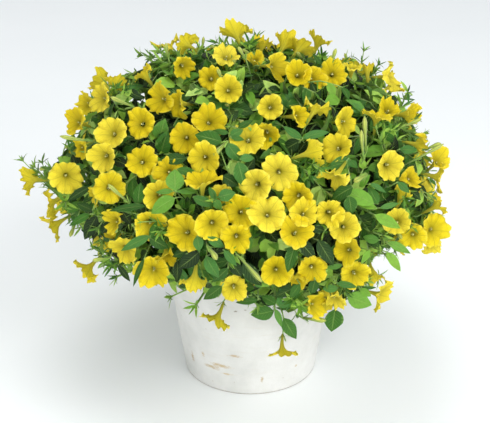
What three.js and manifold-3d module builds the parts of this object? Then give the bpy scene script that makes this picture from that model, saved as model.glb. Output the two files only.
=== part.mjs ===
// Potted petunia: a round mound of yellow flowers in a tapered, white-washed clay pot.
// Millimetres, +Z up. The origin is the centre of the pot's underside, and -Y is the front.
import * as THREE from "three";
import { mergeVertices } from "three/addons/utils/BufferGeometryUtils.js";
import Module from "manifold-3d";

const wasm = await Module();
wasm.setup();

// Pot
const BASE_RADIUS = 104.5;
const RIM_RADIUS = 133;
const POT_HEIGHT = 195;
const WALL = 8;
const FLOOR = 12;
const EDGE_ROUND = 2;
const ROUND_STEPS = 40;
const DRAIN_RADIUS = 6.5;
const DRAIN_RING = 58;
const DRAIN_HOLES = 4;
const DRAIN_SIDES = 10;

// Soil and crown
const SEAT_GAP = 0.3;
const SOIL_EDGE = 170;
const SOIL_MIDDLE = 176;
const CROWN_FOOT = 150;
const CROWN_TOP = 198;
const CROWN_RADIUS = 22;

// The mound: an ellipsoid that the flowers' faces lie on
const MOUND_CENTRE = new THREE.Vector3(-5, 0, 332);
const MOUND_SIZE = new THREE.Vector3(309, 309, 204);

// Shoots, twigs and leaves
const STEM_RADIUS = 2.6;
const TWIG_RADIUS = 1.7;
const TWIG_SPREAD = 0.36;
const ARCH_AT = 0.46;
const FORK_AT = 0.56;
const TWIG_RISE = { "-1": -4, 1: 14 };
const TWIG_SHORTER = 0.03;
const TWIG_BEND = 0.25;
const TWIG_BENDS_TO = 0.8;
const STALK_RADIUS = 1.2;
const STALK_SPACING = 12;
const LEAF_LENGTH = 44;
const LEAF_WIDTH = 27;
const LEAF_THICKNESS = 2.4;
const TIP_LEAF_SHARE = 0.62;
const LEAF_TURN = 137.5;
const FIRST_LEAF_TURN = 40;
const TIP_LEAF_TURN = 12;
const LEAF_LEAN = 0.55;

// Flowers
const TUBE_LENGTH = 30;
const TUBE_RADIUS = 2.6;
const THROAT_RADIUS = 6;
const FLOWER_ACROSS = 50;
const PETAL_THICKNESS = 1;
const FLOWER_SIDES = 8;
const THROAT_AT = 0.85;
const FUNNEL_FLOOR = 0.6;
const STALK_KNEE = 0.35;

// The photograph looks from the front and 25 degrees down, from 2.2 m away. A place in its
// 490 x 423 picture is a line of sight, and one picture unit spans 1.55 mm at the view's centre.
const VIEW_FALL = THREE.MathUtils.degToRad(25);
const VIEW_DISTANCE = 2200;
const VIEW_CENTRE = new THREE.Vector3(-9, 0, 266.5);
const PICTURE_CENTRE = { column: 245, row: 211.5 };
const PICTURE_UNIT = 1.55;

// Shoots in three rings round the mound. They leave the crown at root, which is a radius and a
// height, pass the height arch on their way, and end at tip degrees above the level of the mound's
// centre. first is the bearing of the ring's first shoot in degrees, and reach its tip's share of
// the way out to the surface.
const SHOOT_RINGS = [
  { name: "hanging", count: 10, first: -108, root: [21, 180], arch: 232, tip: -24, reach: 0.93 },
  { name: "side", count: 7, first: -90, root: [18, 187], arch: 292, tip: 14, reach: 0.9 },
  { name: "top", count: 3, first: -60, root: [9, 195], arch: 345, tip: 60, reach: 0.88 },
];

// Flowers that the photograph shows: column and row of the face's centre, then the degrees that
// the face is turned to the right and upwards from looking straight at the viewer. forward is the
// distance in front of the pot's axis of those that hang clear of the mound.
const FLOWERS_IN_FRONT = [
  { column: 234, row: 33, right: -130, up: 58 },
  { column: 184, row: 44, right: -120, up: 28 },
  { column: 301, row: 46, right: 120, up: 50 },
  { column: 228, row: 90, right: 0, up: 0 },
  { column: 391, row: 77, right: 80, up: 0 },
  { column: 101, row: 98, right: -50, up: 0 },
  { column: 270, row: 107, right: 0, up: 0 },
  { column: 346, row: 121, right: 38, up: 0 },
  { column: 66, row: 176, right: 10, up: -12 },
  { column: 30, row: 181, right: -105, up: 0 },
  { column: 279, row: 172, right: 0, up: 0 },
  { column: 389, row: 166, right: 18, up: -15 },
  { column: 440, row: 178, right: 80, up: -15 },
  { column: 184, row: 232, right: -30, up: 0 },
  { column: 54, row: 226, right: -90, up: -33 },
  { column: 344, row: 227, right: 0, up: 0 },
  { column: 434, row: 230, right: 25, up: -10 },
  { column: 123, row: 250, right: -30, up: -40 },
  { column: 276, row: 270, right: 0, up: -5 },
  { column: 234, row: 289, right: 0, up: -25 },
  { column: 382, row: 296, right: 65, up: -15 },
  { column: 215, row: 320, right: -100, up: -65, forward: 190 },
  { column: 283, row: 354, right: 0, up: -88, forward: 185 },
  { column: 87, row: 270, right: -85, up: -45 },
];

// Flowers on the sides and the back, in rings: from is the bearing of the first one in degrees,
// step the angle to the next, and height the angle above the mound's centre.
const FLOWER_RINGS_BEHIND = [
  { count: 5, from: 10, step: 40, height: -14 },
  { count: 4, from: 30, step: 40, height: 20 },
  { count: 3, from: 40, step: 55, height: 52 },
];

// Colours and finishes
const paint = (color, roughness) =>
  new THREE.MeshStandardMaterial({ color, roughness, metalness: 0 });
const LIMEWASH = paint(0xe2e2dd, 0.75);
const SOIL = paint(0x3a2b20, 0.95);
const WOODY = paint(0x6f7a3c, 0.8);
const LEAF = paint(0x3f7a3a, 0.6);
const PETAL = paint(0xf2d829, 0.55);

// A closed three.js geometry as a solid that can be joined and cut
function solidOf(geometry) {
  geometry.deleteAttribute("normal");
  geometry.deleteAttribute("uv");
  const merged = mergeVertices(geometry, 1e-3);
  return new wasm.Manifold(
    new wasm.Mesh({
      numProp: 3,
      vertProperties: merged.attributes.position.array,
      triVerts: new Uint32Array(merged.index.array),
    }),
  );
}

function meshOf(name, solid, material) {
  const made = solid.getMesh();
  const geometry = new THREE.BufferGeometry();
  geometry.setAttribute("position", new THREE.BufferAttribute(made.vertProperties, 3));
  geometry.setIndex(new THREE.BufferAttribute(made.triVerts, 1));
  geometry.computeVertexNormals();
  const mesh = new THREE.Mesh(geometry, material);
  mesh.name = name;
  return mesh;
}

const join = (solids) => solids.reduce((whole, solid) => whole.add(solid));

const largest = (solid) =>
  solid.decompose().reduce((best, body) => (body.volume() > best.volume() ? body : best));

function boxesMeet(a, b) {
  const p = a.boundingBox();
  const q = b.boundingBox();
  return [0, 1, 2].every((i) => p.min[i] < q.max[i] && q.min[i] < p.max[i]);
}

// What is left of a solid once all its neighbours are taken out of it, in one body
function clearOf(solid, neighbours) {
  const near = neighbours.filter((other) => boxesMeet(solid, other));
  return near.length ? largest(near.reduce((rest, other) => rest.subtract(other), solid)) : solid;
}

// A profile of [radius, height] points turned round Z
function turned(points, sides) {
  const profile = points.map(([radius, height]) => new THREE.Vector2(radius, height));
  return new THREE.LatheGeometry(profile, sides).rotateX(Math.PI / 2);
}

function tube(curve, radius, sides, steps) {
  const section = new THREE.Shape();
  for (let i = 0; i < sides; i++) {
    const angle = (2 * Math.PI * i) / sides;
    const place = [radius * Math.cos(angle), radius * Math.sin(angle)];
    if (i) section.lineTo(...place);
    else section.moveTo(...place);
  }
  return solidOf(new THREE.ExtrudeGeometry(section, { extrudePath: curve, steps, bevelEnabled: false }));
}

// Directions and places

const radians = THREE.MathUtils.degToRad;

function direction(bearing, height) {
  return new THREE.Vector3(
    Math.cos(radians(bearing)) * Math.cos(radians(height)),
    Math.sin(radians(bearing)) * Math.cos(radians(height)),
    Math.sin(radians(height)),
  );
}

// The point of the mound in a direction from its centre; share 1 is on its surface
function onMound(bearing, height, share) {
  const towards = direction(bearing, height);
  const length = share / towards.clone().divide(MOUND_SIZE).length();
  return towards.multiplyScalar(length).add(MOUND_CENTRE);
}

const TO_VIEWER = new THREE.Vector3(0, -Math.cos(VIEW_FALL), Math.sin(VIEW_FALL));
const PICTURE_UP = new THREE.Vector3(0, Math.sin(VIEW_FALL), Math.cos(VIEW_FALL));
const PICTURE_RIGHT = new THREE.Vector3(1, 0, 0);
const EYE = VIEW_CENTRE.clone().addScaledVector(TO_VIEWER, VIEW_DISTANCE);

// Where a line of sight meets the mound, or passes it closest, or is forward of the pot's axis
function inView({ column, row, forward }) {
  const sight = VIEW_CENTRE.clone()
    .addScaledVector(PICTURE_RIGHT, (column - PICTURE_CENTRE.column) * PICTURE_UNIT)
    .addScaledVector(PICTURE_UP, (PICTURE_CENTRE.row - row) * PICTURE_UNIT)
    .sub(EYE);
  if (forward) return EYE.clone().addScaledVector(sight, (-forward - EYE.y) / sight.y);
  const from = EYE.clone().sub(MOUND_CENTRE).divide(MOUND_SIZE);
  const along = sight.clone().divide(MOUND_SIZE);
  const a = along.dot(along);
  const b = from.dot(along);
  const c = from.dot(from) - 1;
  const depth = (-b - Math.sqrt(Math.max(0, b * b - a * c))) / a;
  return EYE.clone().addScaledVector(sight, depth);
}

function facing({ right, up }) {
  const level = Math.cos(radians(up));
  return new THREE.Vector3()
    .addScaledVector(TO_VIEWER, Math.cos(radians(right)) * level)
    .addScaledVector(PICTURE_RIGHT, Math.sin(radians(right)) * level)
    .addScaledVector(PICTURE_UP, Math.sin(radians(up)));
}

// Pot: a tapered wall and a floor with drainage holes

const wallRadius = (height) => BASE_RADIUS + ((RIM_RADIUS - BASE_RADIUS) * height) / POT_HEIGHT;

function pot() {
  const body = solidOf(
    turned(
      [
        [0, 0],
        [BASE_RADIUS - EDGE_ROUND, 0],
        [wallRadius(EDGE_ROUND), EDGE_ROUND],
        [wallRadius(POT_HEIGHT - EDGE_ROUND), POT_HEIGHT - EDGE_ROUND],
        [RIM_RADIUS - EDGE_ROUND, POT_HEIGHT],
        [RIM_RADIUS - WALL + EDGE_ROUND, POT_HEIGHT],
        [RIM_RADIUS - WALL, POT_HEIGHT - EDGE_ROUND],
        [wallRadius(FLOOR) - WALL, FLOOR],
        [0, FLOOR],
      ],
      ROUND_STEPS,
    ),
  );
  const drain = new THREE.CylinderGeometry(DRAIN_RADIUS, DRAIN_RADIUS, 3 * FLOOR, DRAIN_SIDES);
  drain.rotateX(Math.PI / 2);
  const drains = Array.from({ length: DRAIN_HOLES }, (_, i) => {
    const place = direction((360 / DRAIN_HOLES) * (i + 0.5), 0).multiplyScalar(DRAIN_RING);
    return solidOf(drain.clone().translate(place.x, place.y, 0));
  });
  return body.subtract(join(drains));
}

// Crown: the woody base, half sunk in the soil

function crown(growth) {
  const foot = CROWN_FOOT - growth;
  const top = CROWN_TOP + growth;
  const radius = CROWN_RADIUS + growth;
  const profile = new THREE.CatmullRomCurve3([
    new THREE.Vector3(0.35 * radius, foot, 0),
    new THREE.Vector3(0.7 * radius, foot + 12, 0),
    new THREE.Vector3(radius, 0.5 * (foot + top) + 6, 0),
    new THREE.Vector3(0.6 * radius, top - 3, 0),
  ]).getPoints(6);
  return solidOf(turned([[0, foot], ...profile.map((p) => [p.x, p.y]), [0, top]], 12));
}

function soil() {
  const inner = (height) => wallRadius(height) - WALL - SEAT_GAP;
  const foot = FLOOR + SEAT_GAP;
  const heap = turned(
    [
      [0, foot],
      [inner(foot), foot],
      [inner(SOIL_EDGE), SOIL_EDGE],
      [0.8 * inner(SOIL_EDGE), SOIL_EDGE + 2],
      [0.4 * inner(SOIL_EDGE), SOIL_MIDDLE - 1],
      [0, SOIL_MIDDLE],
    ],
    28,
  );
  return solidOf(heap).subtract(crown(SEAT_GAP));
}

// Shoots: each leaves the crown, arches over and forks into a leader and two side twigs

function shootCurve(bearing, { root, arch, tip, reach }) {
  const [radius, height] = root;
  const start = direction(bearing, 0).multiplyScalar(radius).setZ(height);
  const end = onMound(bearing, tip, reach);
  const over = start.clone().lerp(end, ARCH_AT).setZ(arch);
  return new THREE.CatmullRomCurve3([start, over, end]);
}

const SHOOTS = SHOOT_RINGS.flatMap((ring) =>
  Array.from({ length: ring.count }, (_, i) => {
    const step = 360 / ring.count;
    const bearing = ring.first + step * i;
    const leader = shootCurve(bearing, ring);
    const fork = leader.getPoint(FORK_AT);
    const twigs = [-1, 1].map((side) => {
      const height = ring.tip + TWIG_RISE[side];
      const end = onMound(bearing + side * TWIG_SPREAD * step, height, ring.reach - TWIG_SHORTER);
      const middle = fork.clone().lerp(end, 0.5).lerp(leader.getPoint(TWIG_BENDS_TO), TWIG_BEND);
      return new THREE.CatmullRomCurve3([fork, middle, end]);
    });
    return { name: `shoot_${ring.name}_${String(i + 1).padStart(2, "0")}`, leader, twigs };
  }),
);

const branchTubes = ({ leader, twigs }, growth) =>
  join([
    tube(leader, STEM_RADIUS + growth, 4, 6),
    ...twigs.map((twig) => tube(twig, TWIG_RADIUS + growth, 3, 3)),
  ]);

// A leaf: a thin oval lens that grows along X from its stalk, with Z as its upper side
function leaf(length, width, growth) {
  const half = [length / 2 + growth, width / 2 + growth, LEAF_THICKNESS / 2 + growth];
  return new THREE.SphereGeometry(1, 8, 2)
    .rotateX(Math.PI / 2)
    .scale(...half)
    .translate(length / 2, 0, 0);
}

// Leaves stand round a branch at the golden angle, smaller towards its tip and smallest on it
function leavesOn(curve, count, from, growth) {
  return Array.from({ length: count }, (_, i) => {
    const last = i === count - 1;
    const share = from + ((1 - from) * i) / (count - 1);
    const size = last ? TIP_LEAF_SHARE : 1 - 0.25 * share;
    const foot = Math.min(share, 0.985);
    const place = curve.getPoint(foot);
    const tangent = curve.getTangent(foot);
    const outward = place.clone().sub(MOUND_CENTRE).normalize();
    const across = new THREE.Vector3().crossVectors(tangent, outward).normalize();
    const turn = radians(last ? TIP_LEAF_TURN : LEAF_TURN * i + FIRST_LEAF_TURN);
    const side = across.multiplyScalar(Math.cos(turn)).addScaledVector(outward, 0.7 * Math.sin(turn));
    const along = tangent.multiplyScalar(LEAF_LEAN).addScaledVector(side, 1).normalize();
    const upper = outward.addScaledVector(along, -outward.dot(along)).normalize();
    const breadth = new THREE.Vector3().crossVectors(upper, along);
    const stand = new THREE.Matrix4().makeBasis(along, breadth, upper).setPosition(place);
    return solidOf(leaf(size * LEAF_LENGTH, size * LEAF_WIDTH, growth).applyMatrix4(stand));
  });
}

const shootLeaves = ({ leader, twigs }, growth) => [
  ...leavesOn(leader, 4, 0.62, growth),
  ...twigs.flatMap((twig) => leavesOn(twig, 3, 0.45, growth)),
];

// Flowers: each is a trumpet on a thin stalk that starts at the nearest branch

const FLOWER_PLACES = [
  ...FLOWERS_IN_FRONT.map((seen) => ({ face: inView(seen), out: facing(seen) })),
  ...FLOWER_RINGS_BEHIND.flatMap(({ count, from, step, height }) =>
    Array.from({ length: count }, (_, i) => ({
      face: onMound(from + step * i, height, 1),
      out: direction(from + step * i, height + 8),
    })),
  ),
];

// Where a flower's stalk can start: on the outer half of a leader, or on a twig but for its ends.
// Each place carries one flower.
const placesOn = (curve, steps, first, radius) =>
  curve
    .getPoints(steps)
    .slice(first, steps)
    .map((place) => ({ place, radius }));

const BRANCH_POINTS = SHOOTS.flatMap(({ leader, twigs }) => [
  ...placesOn(leader, 24, 13, STEM_RADIUS),
  ...twigs.flatMap((twig) => placesOn(twig, 12, 2, TWIG_RADIUS)),
]);

const carriers = [];
for (const place of FLOWER_PLACES) {
  const calyx = place.face.clone().addScaledVector(place.out, -TUBE_LENGTH);
  const free = BRANCH_POINTS.filter((point) =>
    carriers.every((other) => other.place.distanceTo(point.place) > STALK_SPACING),
  );
  place.carrier = free.reduce((best, point) =>
    point.place.distanceTo(calyx) < best.place.distanceTo(calyx) ? point : best,
  );
  carriers.push(place.carrier);
}

function flower({ face, out, carrier }, growth) {
  const half = FLOWER_ACROSS / 2 + growth;
  const tubeRadius = TUBE_RADIUS + growth;
  const trumpet = turned(
    [
      [0, -growth],
      [tubeRadius, -growth],
      [THROAT_RADIUS + PETAL_THICKNESS + growth, THROAT_AT * TUBE_LENGTH - growth],
      [half, TUBE_LENGTH - growth],
      [half, TUBE_LENGTH + PETAL_THICKNESS + growth],
      [Math.max(THROAT_RADIUS - growth, 1), THROAT_AT * TUBE_LENGTH + 2 + growth],
      [0, FUNNEL_FLOOR * TUBE_LENGTH + growth],
    ],
    FLOWER_SIDES,
  );
  const calyx = face.clone().addScaledVector(out, -TUBE_LENGTH);
  const stand = new THREE.Quaternion().setFromUnitVectors(new THREE.Vector3(0, 0, 1), out);
  trumpet.applyQuaternion(stand).translate(calyx.x, calyx.y, calyx.z);
  const reach = calyx.clone().sub(carrier.place);
  const seat = carrier.radius + SEAT_GAP;
  const start = carrier.place.clone().addScaledVector(reach.clone().normalize(), seat);
  const knee = calyx.clone().addScaledVector(out, -STALK_KNEE * reach.length());
  const end = calyx.clone().addScaledVector(out, TUBE_RADIUS);
  const stalk = tube(new THREE.CatmullRomCurve3([start, knee, end]), STALK_RADIUS + growth, 4, 3);
  return join([solidOf(trumpet), stalk]);
}

// The whole plant, each piece clear of those made before it

const part = new THREE.Group();
part.add(meshOf("pot", pot(), LIMEWASH));
part.add(meshOf("potting_soil", soil(), SOIL));
part.add(meshOf("crown", crown(0), WOODY));

const filledPot = turned(
  [
    [0, 0],
    [RIM_RADIUS, 0],
    [RIM_RADIUS, SOIL_MIDDLE + 1],
    [0, SOIL_MIDDLE + 1],
  ],
  24,
);
const taken = [crown(SEAT_GAP), solidOf(filledPot)];
const ownBranches = new Map();
for (const shoot of SHOOTS) {
  shoot.branches = clearOf(branchTubes(shoot, 0), taken);
  ownBranches.set(shoot, branchTubes(shoot, SEAT_GAP));
  taken.push(ownBranches.get(shoot));
}

FLOWER_PLACES.forEach((place, i) => {
  const name = `flower_${String(i + 1).padStart(2, "0")}`;
  part.add(meshOf(name, clearOf(flower(place, 0), taken), PETAL));
  taken.push(flower(place, SEAT_GAP));
});

for (const shoot of SHOOTS) {
  const others = taken.filter((solid) => solid !== ownBranches.get(shoot));
  const leaves = shootLeaves(shoot, 0).map((one) => clearOf(one, others));
  part.add(meshOf(shoot.name, largest(join([shoot.branches, ...leaves])), LEAF));
  taken.push(...shootLeaves(shoot, SEAT_GAP));
}

export default part;
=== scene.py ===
"""Potted petunia: a mound of yellow flowers and downy leaves over a lime-washed clay pot.

Lengths are millimetres until a mesh is made. +Z is up, -Y is the front and the origin is the
centre of the pot's flat underside.
"""
import json
import math
from functools import partial

import bpy
import numpy as np
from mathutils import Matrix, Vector
from mathutils.geometry import delaunay_2d_cdt


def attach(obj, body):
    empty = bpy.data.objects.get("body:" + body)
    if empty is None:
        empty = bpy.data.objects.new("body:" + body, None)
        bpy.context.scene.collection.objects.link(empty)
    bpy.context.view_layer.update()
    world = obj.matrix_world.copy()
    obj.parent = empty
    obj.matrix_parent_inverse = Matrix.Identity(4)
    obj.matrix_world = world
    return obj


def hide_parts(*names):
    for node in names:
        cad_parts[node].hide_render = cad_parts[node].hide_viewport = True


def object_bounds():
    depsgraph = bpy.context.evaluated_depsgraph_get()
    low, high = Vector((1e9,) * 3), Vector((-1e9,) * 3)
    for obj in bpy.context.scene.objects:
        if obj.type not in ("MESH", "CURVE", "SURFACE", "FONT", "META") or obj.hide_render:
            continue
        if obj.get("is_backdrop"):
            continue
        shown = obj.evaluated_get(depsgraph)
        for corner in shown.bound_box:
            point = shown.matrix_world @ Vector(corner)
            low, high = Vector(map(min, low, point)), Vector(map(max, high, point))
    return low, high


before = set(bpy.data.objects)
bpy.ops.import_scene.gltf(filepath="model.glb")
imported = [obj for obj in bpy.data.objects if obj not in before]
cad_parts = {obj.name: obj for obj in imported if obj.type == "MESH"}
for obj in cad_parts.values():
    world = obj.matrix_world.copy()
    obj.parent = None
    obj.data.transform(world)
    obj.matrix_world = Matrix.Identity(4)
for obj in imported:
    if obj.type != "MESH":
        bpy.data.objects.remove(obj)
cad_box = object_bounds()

MM = 0.001
TURN = 2 * math.pi
GOLDEN_ANGLE = 137.5

# Pot, as packed
BASE_RADIUS = 104.5
RIM_RADIUS = 133
POT_HEIGHT = 195
WALL = 8
FLOOR = 12
DRAIN_HOLES = 4
DRAIN_RADIUS = 6.5
DRAIN_RING = 58
SOIL_EDGE = 170
SOIL_MIDDLE = 176
CROWN_FOOT = 150
CROWN_TOP = 198
CROWN_RADIUS = 22
SEAT_GAP = 0.3

# Mound and shoots, as packed
MOUND_CENTRE = np.array((-5.0, 0, 332))
MOUND_SIZE = np.array((309.0, 309, 204))
STEM_RADIUS = 2.6
TWIG_RADIUS = 1.7
TWIG_SPREAD = 0.36
ARCH_AT = 0.46
FORK_AT = 0.56
TWIG_RISE = {-1: -4, 1: 14}
TWIG_SHORTER = 0.03
TWIG_BEND = 0.25
TWIG_BENDS_TO = 0.8
STALK_SPACING = 12
LEAF_LEAN = 0.55
LEAF_LENGTH = 44
LEAF_WIDTH = 27
TIP_LEAF_SHARE = 0.62
SHOOT_RINGS = [
    dict(name="hanging", count=10, first=-108, root=(21, 180), arch=232, tip=-24, reach=0.93),
    dict(name="side", count=7, first=-90, root=(18, 187), arch=292, tip=14, reach=0.9),
    dict(name="top", count=3, first=-60, root=(9, 195), arch=345, tip=60, reach=0.88),
]

# Flowers, as packed
TUBE_LENGTH = 30
STALK_KNEE = 0.35

# The photograph's view: from the front and 25 degrees down
VIEW_FALL = math.radians(25)
VIEW_DISTANCE = 2200
VIEW_CENTRE = np.array((-9.0, 0, 266.5))
PICTURE_CENTRE = (245, 211.5)
PICTURE_UNIT = 1.55  # mm to one column or row, at the depth of the view's centre
NEAR_UNIT = 1.4  # and at the mound's front
PICTURE_COLUMNS = 490
SENSOR = 36
TO_VIEWER = np.array((0, -math.cos(VIEW_FALL), math.sin(VIEW_FALL)))
PICTURE_UP = np.array((0, math.sin(VIEW_FALL), math.cos(VIEW_FALL)))
PICTURE_RIGHT = np.array((1.0, 0, 0))
EYE = VIEW_CENTRE + VIEW_DISTANCE * TO_VIEWER


# Small helpers


def linear(text):
    """An sRGB hex colour as linear red, green, blue and alpha."""
    shares = [int(text[i : i + 2], 16) / 255 for i in (1, 3, 5)]
    return (*(c / 12.92 if c <= 0.04045 else ((c + 0.055) / 1.055) ** 2.4 for c in shares), 1.0)


def chance(*key):
    """The random draws of one thing, the same in every run."""
    return np.random.default_rng(key)


def unit(vector):
    return vector / max(np.linalg.norm(vector), 1e-9)


def direction(bearing, height):
    bearing, height = math.radians(bearing), math.radians(height)
    level = math.cos(height)
    return np.array((math.cos(bearing) * level, math.sin(bearing) * level, math.sin(height)))


def on_mound(bearing, height, share):
    """A place in the mound: share is how far out it lies on the way to the surface."""
    towards = direction(bearing, height)
    return MOUND_CENTRE + towards * share / np.linalg.norm(towards / MOUND_SIZE)


def mound_outward(place):
    return unit((place - MOUND_CENTRE) / MOUND_SIZE**2)


def sight_line(column, row):
    """From the eye to the view's middle plane, through a place in the picture."""
    return (
        VIEW_CENTRE
        + PICTURE_RIGHT * (column - PICTURE_CENTRE[0]) * PICTURE_UNIT
        + PICTURE_UP * (PICTURE_CENTRE[1] - row) * PICTURE_UNIT
        - EYE
    )


def in_view(column, row, forward=None, lift=0.0):
    """Where the sight line through a place in the picture meets the mound, or passes it closest,
    or is forward of the pot's axis; lift brings it nearer to the viewer."""
    sight = sight_line(column, row)
    if forward is not None:
        return EYE + sight * (-forward - EYE[1]) / sight[1]
    start = (EYE - MOUND_CENTRE) / MOUND_SIZE
    along = sight / MOUND_SIZE
    a, b, c = along @ along, start @ along, start @ start - 1
    return EYE + sight * (-b - math.sqrt(max(0, b * b - a * c))) / a - lift * unit(sight)


def beside(place, column, row):
    """What shows at a place in the picture and is as deep in it as place is."""
    return EYE + sight_line(column, row) * ((EYE - place) @ TO_VIEWER) / VIEW_DISTANCE


def facing(right, up):
    right, up = math.radians(right), math.radians(up)
    level = math.cos(up)
    return (
        TO_VIEWER * math.cos(right) * level
        + PICTURE_RIGHT * math.sin(right) * level
        + PICTURE_UP * math.sin(up)
    )


def frame_along(along, upper):
    """Three axes as rows: along, across and the upper side, square to each other."""
    along = unit(along)
    upper = unit(upper - along * (upper @ along))
    return np.array((along, np.cross(upper, along), upper))


def wall_radius(height):
    return BASE_RADIUS + (RIM_RADIUS - BASE_RADIUS) * height / POT_HEIGHT


class Curve:
    """A smooth curve through three points or more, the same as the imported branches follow."""

    def __init__(self, points):
        self.points = [np.array(p, float) for p in points]

    def at(self, share):
        points, last = self.points, len(self.points) - 1
        place = min(max(share, 0.0), 1.0) * last
        i = min(int(place), last - 1)
        weight = place - i
        p1, p2 = points[i], points[i + 1]
        p0 = points[i - 1] if i else 2 * points[0] - points[1]
        p3 = points[i + 2] if i + 2 <= last else 2 * points[last] - points[last - 1]
        d0, d1, d2 = (
            max(math.sqrt(np.linalg.norm(b - a)), 1e-4) for a, b in ((p0, p1), (p1, p2), (p2, p3))
        )
        t1 = ((p1 - p0) / d0 - (p2 - p0) / (d0 + d1) + (p2 - p1) / d1) * d1
        t2 = ((p2 - p1) / d1 - (p3 - p1) / (d1 + d2) + (p3 - p2) / d2) * d1
        c2 = 3 * (p2 - p1) - 2 * t1 - t2
        c3 = 2 * (p1 - p2) + t1 + t2
        return p1 + t1 * weight + c2 * weight**2 + c3 * weight**3

    def along(self, share):
        low = min(max(share - 0.005, 0), 0.99)
        return unit(self.at(low + 0.01) - self.at(low))

    def places(self, steps):
        return np.array([self.at(i / steps) for i in range(steps + 1)])


# Camera, floor and light


def studio():
    scene = bpy.context.scene
    scene.view_settings.view_transform = "Standard"
    lens = bpy.data.cameras.new("camera")
    lens.sensor_width = SENSOR
    lens.lens = SENSOR * VIEW_DISTANCE / (PICTURE_COLUMNS * PICTURE_UNIT)
    lens.clip_end = 60
    camera = bpy.data.objects.new("camera", lens)
    camera.location = EYE * MM
    camera.rotation_euler = (math.pi / 2 - VIEW_FALL, 0, 0)
    scene.collection.objects.link(camera)
    scene.camera = camera

    world = bpy.data.worlds.new("studio_air")
    scene.world = world
    world.use_nodes = True
    # white walls lit more than the ceiling, so that light reaches the floor under the mound
    tree = world.node_tree
    air = tree.nodes["Background"]
    add = partial(add_node, tree)
    rise = add("SeparateXYZ", add("TexCoord"))
    walls = add("ValToRGB", (rise, 2), stops=[(0.1, "#FFFFFF"), (0.75, "#CDD1D3")])
    tree.links.new(walls.outputs[0], air.inputs["Color"])
    air.inputs["Strength"].default_value = WALL_LIGHT

    for name, place, target, across, power in LAMPS:
        lamp = bpy.data.lights.new(name, "AREA")
        lamp.shape = "DISK"
        lamp.size = across
        lamp.energy = power
        stand = bpy.data.objects.new(name, lamp)
        stand.location = place
        reach = np.array(target) - np.array(place)
        tilt = math.atan2(math.hypot(reach[0], reach[1]), -reach[2])
        stand.rotation_euler = (tilt, 0, math.atan2(reach[1], reach[0]) - math.pi / 2)
        scene.collection.objects.link(stand)

    steps = np.linspace(-9, 9, 37)
    points = [(x, y, 0) for y in steps for x in steps]
    mesh = bpy.data.meshes.new("studio_floor")
    mesh.from_pydata(points, [], grid_faces(len(steps), len(steps)).tolist())
    mesh.materials.append(material(painted_floor))
    floor = bpy.data.objects.new("studio_floor", mesh)
    scene.collection.objects.link(floor)
    floor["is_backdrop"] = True


# name, place, what it points at, both in metres, then its width in metres and its power in watts
LAMPS = [
    ("key_right", (1.7, -2.1, 2.3), (0, 0, 0.3), 2.2, 62),
    ("front_fill", (-0.2, -3.1, 1.2), (-0.1, 0, 0.1), 2.0, 34),
    ("top", (-0.3, 0.2, 3.0), (0, 0, 0.3), 1.6, 24),
]
WALL_LIGHT = 0.94


# Materials


def add_node(tree, kind, *inputs, stops=(), **settings):
    """Adds a node. inputs fill its sockets in their order, or are one dict of sockets by name or
    number. Each is a value, a node, or a node with the number of its output. stops are the places
    and the colours of a ramp. The functions below get it as add, with their own tree set."""
    node = tree.nodes.new("ShaderNode" + kind)
    for name, value in settings.items():
        setattr(node, name, value)
    by_name = inputs and isinstance(inputs[0], dict)
    for name, value in (inputs[0] if by_name else dict(enumerate(inputs))).items():
        if isinstance(value, bpy.types.Node):
            tree.links.new(value.outputs[0], node.inputs[name])
        elif isinstance(value, tuple) and isinstance(value[0], bpy.types.Node):
            tree.links.new(value[0].outputs[value[1]], node.inputs[name])
        else:
            node.inputs[name].default_value = value
    for i, (place, colour) in enumerate(stops):
        if i > 1:
            node.color_ramp.elements.new(1.0)
        node.color_ramp.elements[i].position = place
        node.color_ramp.elements[i].color = linear(colour)
    return node


def material(describe):
    """A material with the name of the function that adds its nodes."""
    made = bpy.data.materials.new(describe.__name__)
    made.use_nodes = True
    made.node_tree.nodes.clear()
    describe(partial(add_node, made.node_tree))
    return made


def mark(add):
    """What a point's mark says: along and across its part, and the part's own tone."""
    return add("SeparateXYZ", (add("Attribute", attribute_name="mark"), 1))


def surface(add, colour, rough, gloss, relief=None, depth=0.0, strength=0.8, down=0.0,
            down_colour="#FFFFFF", through=0.0, glow=None):
    """The finished surface. depth is how deep the relief is in mm and down is how much fine hair
    stands on it. Where through is above 0 it is a thin living tissue that also lets some of the
    light behind it through. That light meets two such skins, so glow is paler than what it ends
    as."""
    look = {"Base Color": colour, "Roughness": rough, "Specular IOR Level": gloss}
    if relief is not None:
        bump = add("Bump", {"Height": relief, "Distance": depth * MM, "Strength": strength})
        look["Normal"] = bump
    if down:
        look |= {"Sheen Weight": down, "Sheen Roughness": 0.4, "Sheen Tint": linear(down_colour)}
    skin = add("BsdfPrincipled", look)
    if through:
        light = add("BsdfTranslucent", {"Color": glow, "Normal": bump})
        skin = add("MixShader", through, skin, light)
    add("OutputMaterial", skin)


def petal_places(add):
    """A petal's own directions: share of the way out from the tube's base, angle round the throat,
    how far round it is from the nearest midrib (0) to the nearest seam (0.5), and the flower's
    own tint."""
    split = mark(add)
    flat = add("CombineXYZ", (split, 0), (split, 1))
    out = add("VectorMath", flat, operation="LENGTH")
    angle = add("Math", (split, 1), (split, 0), operation="ARCTAN2")
    fifth = add("Math", angle, 5 / TURN, operation="MULTIPLY")
    return (out, 1), angle, add("Math", fifth, 0.5, operation="PINGPONG"), (split, 2)


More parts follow.
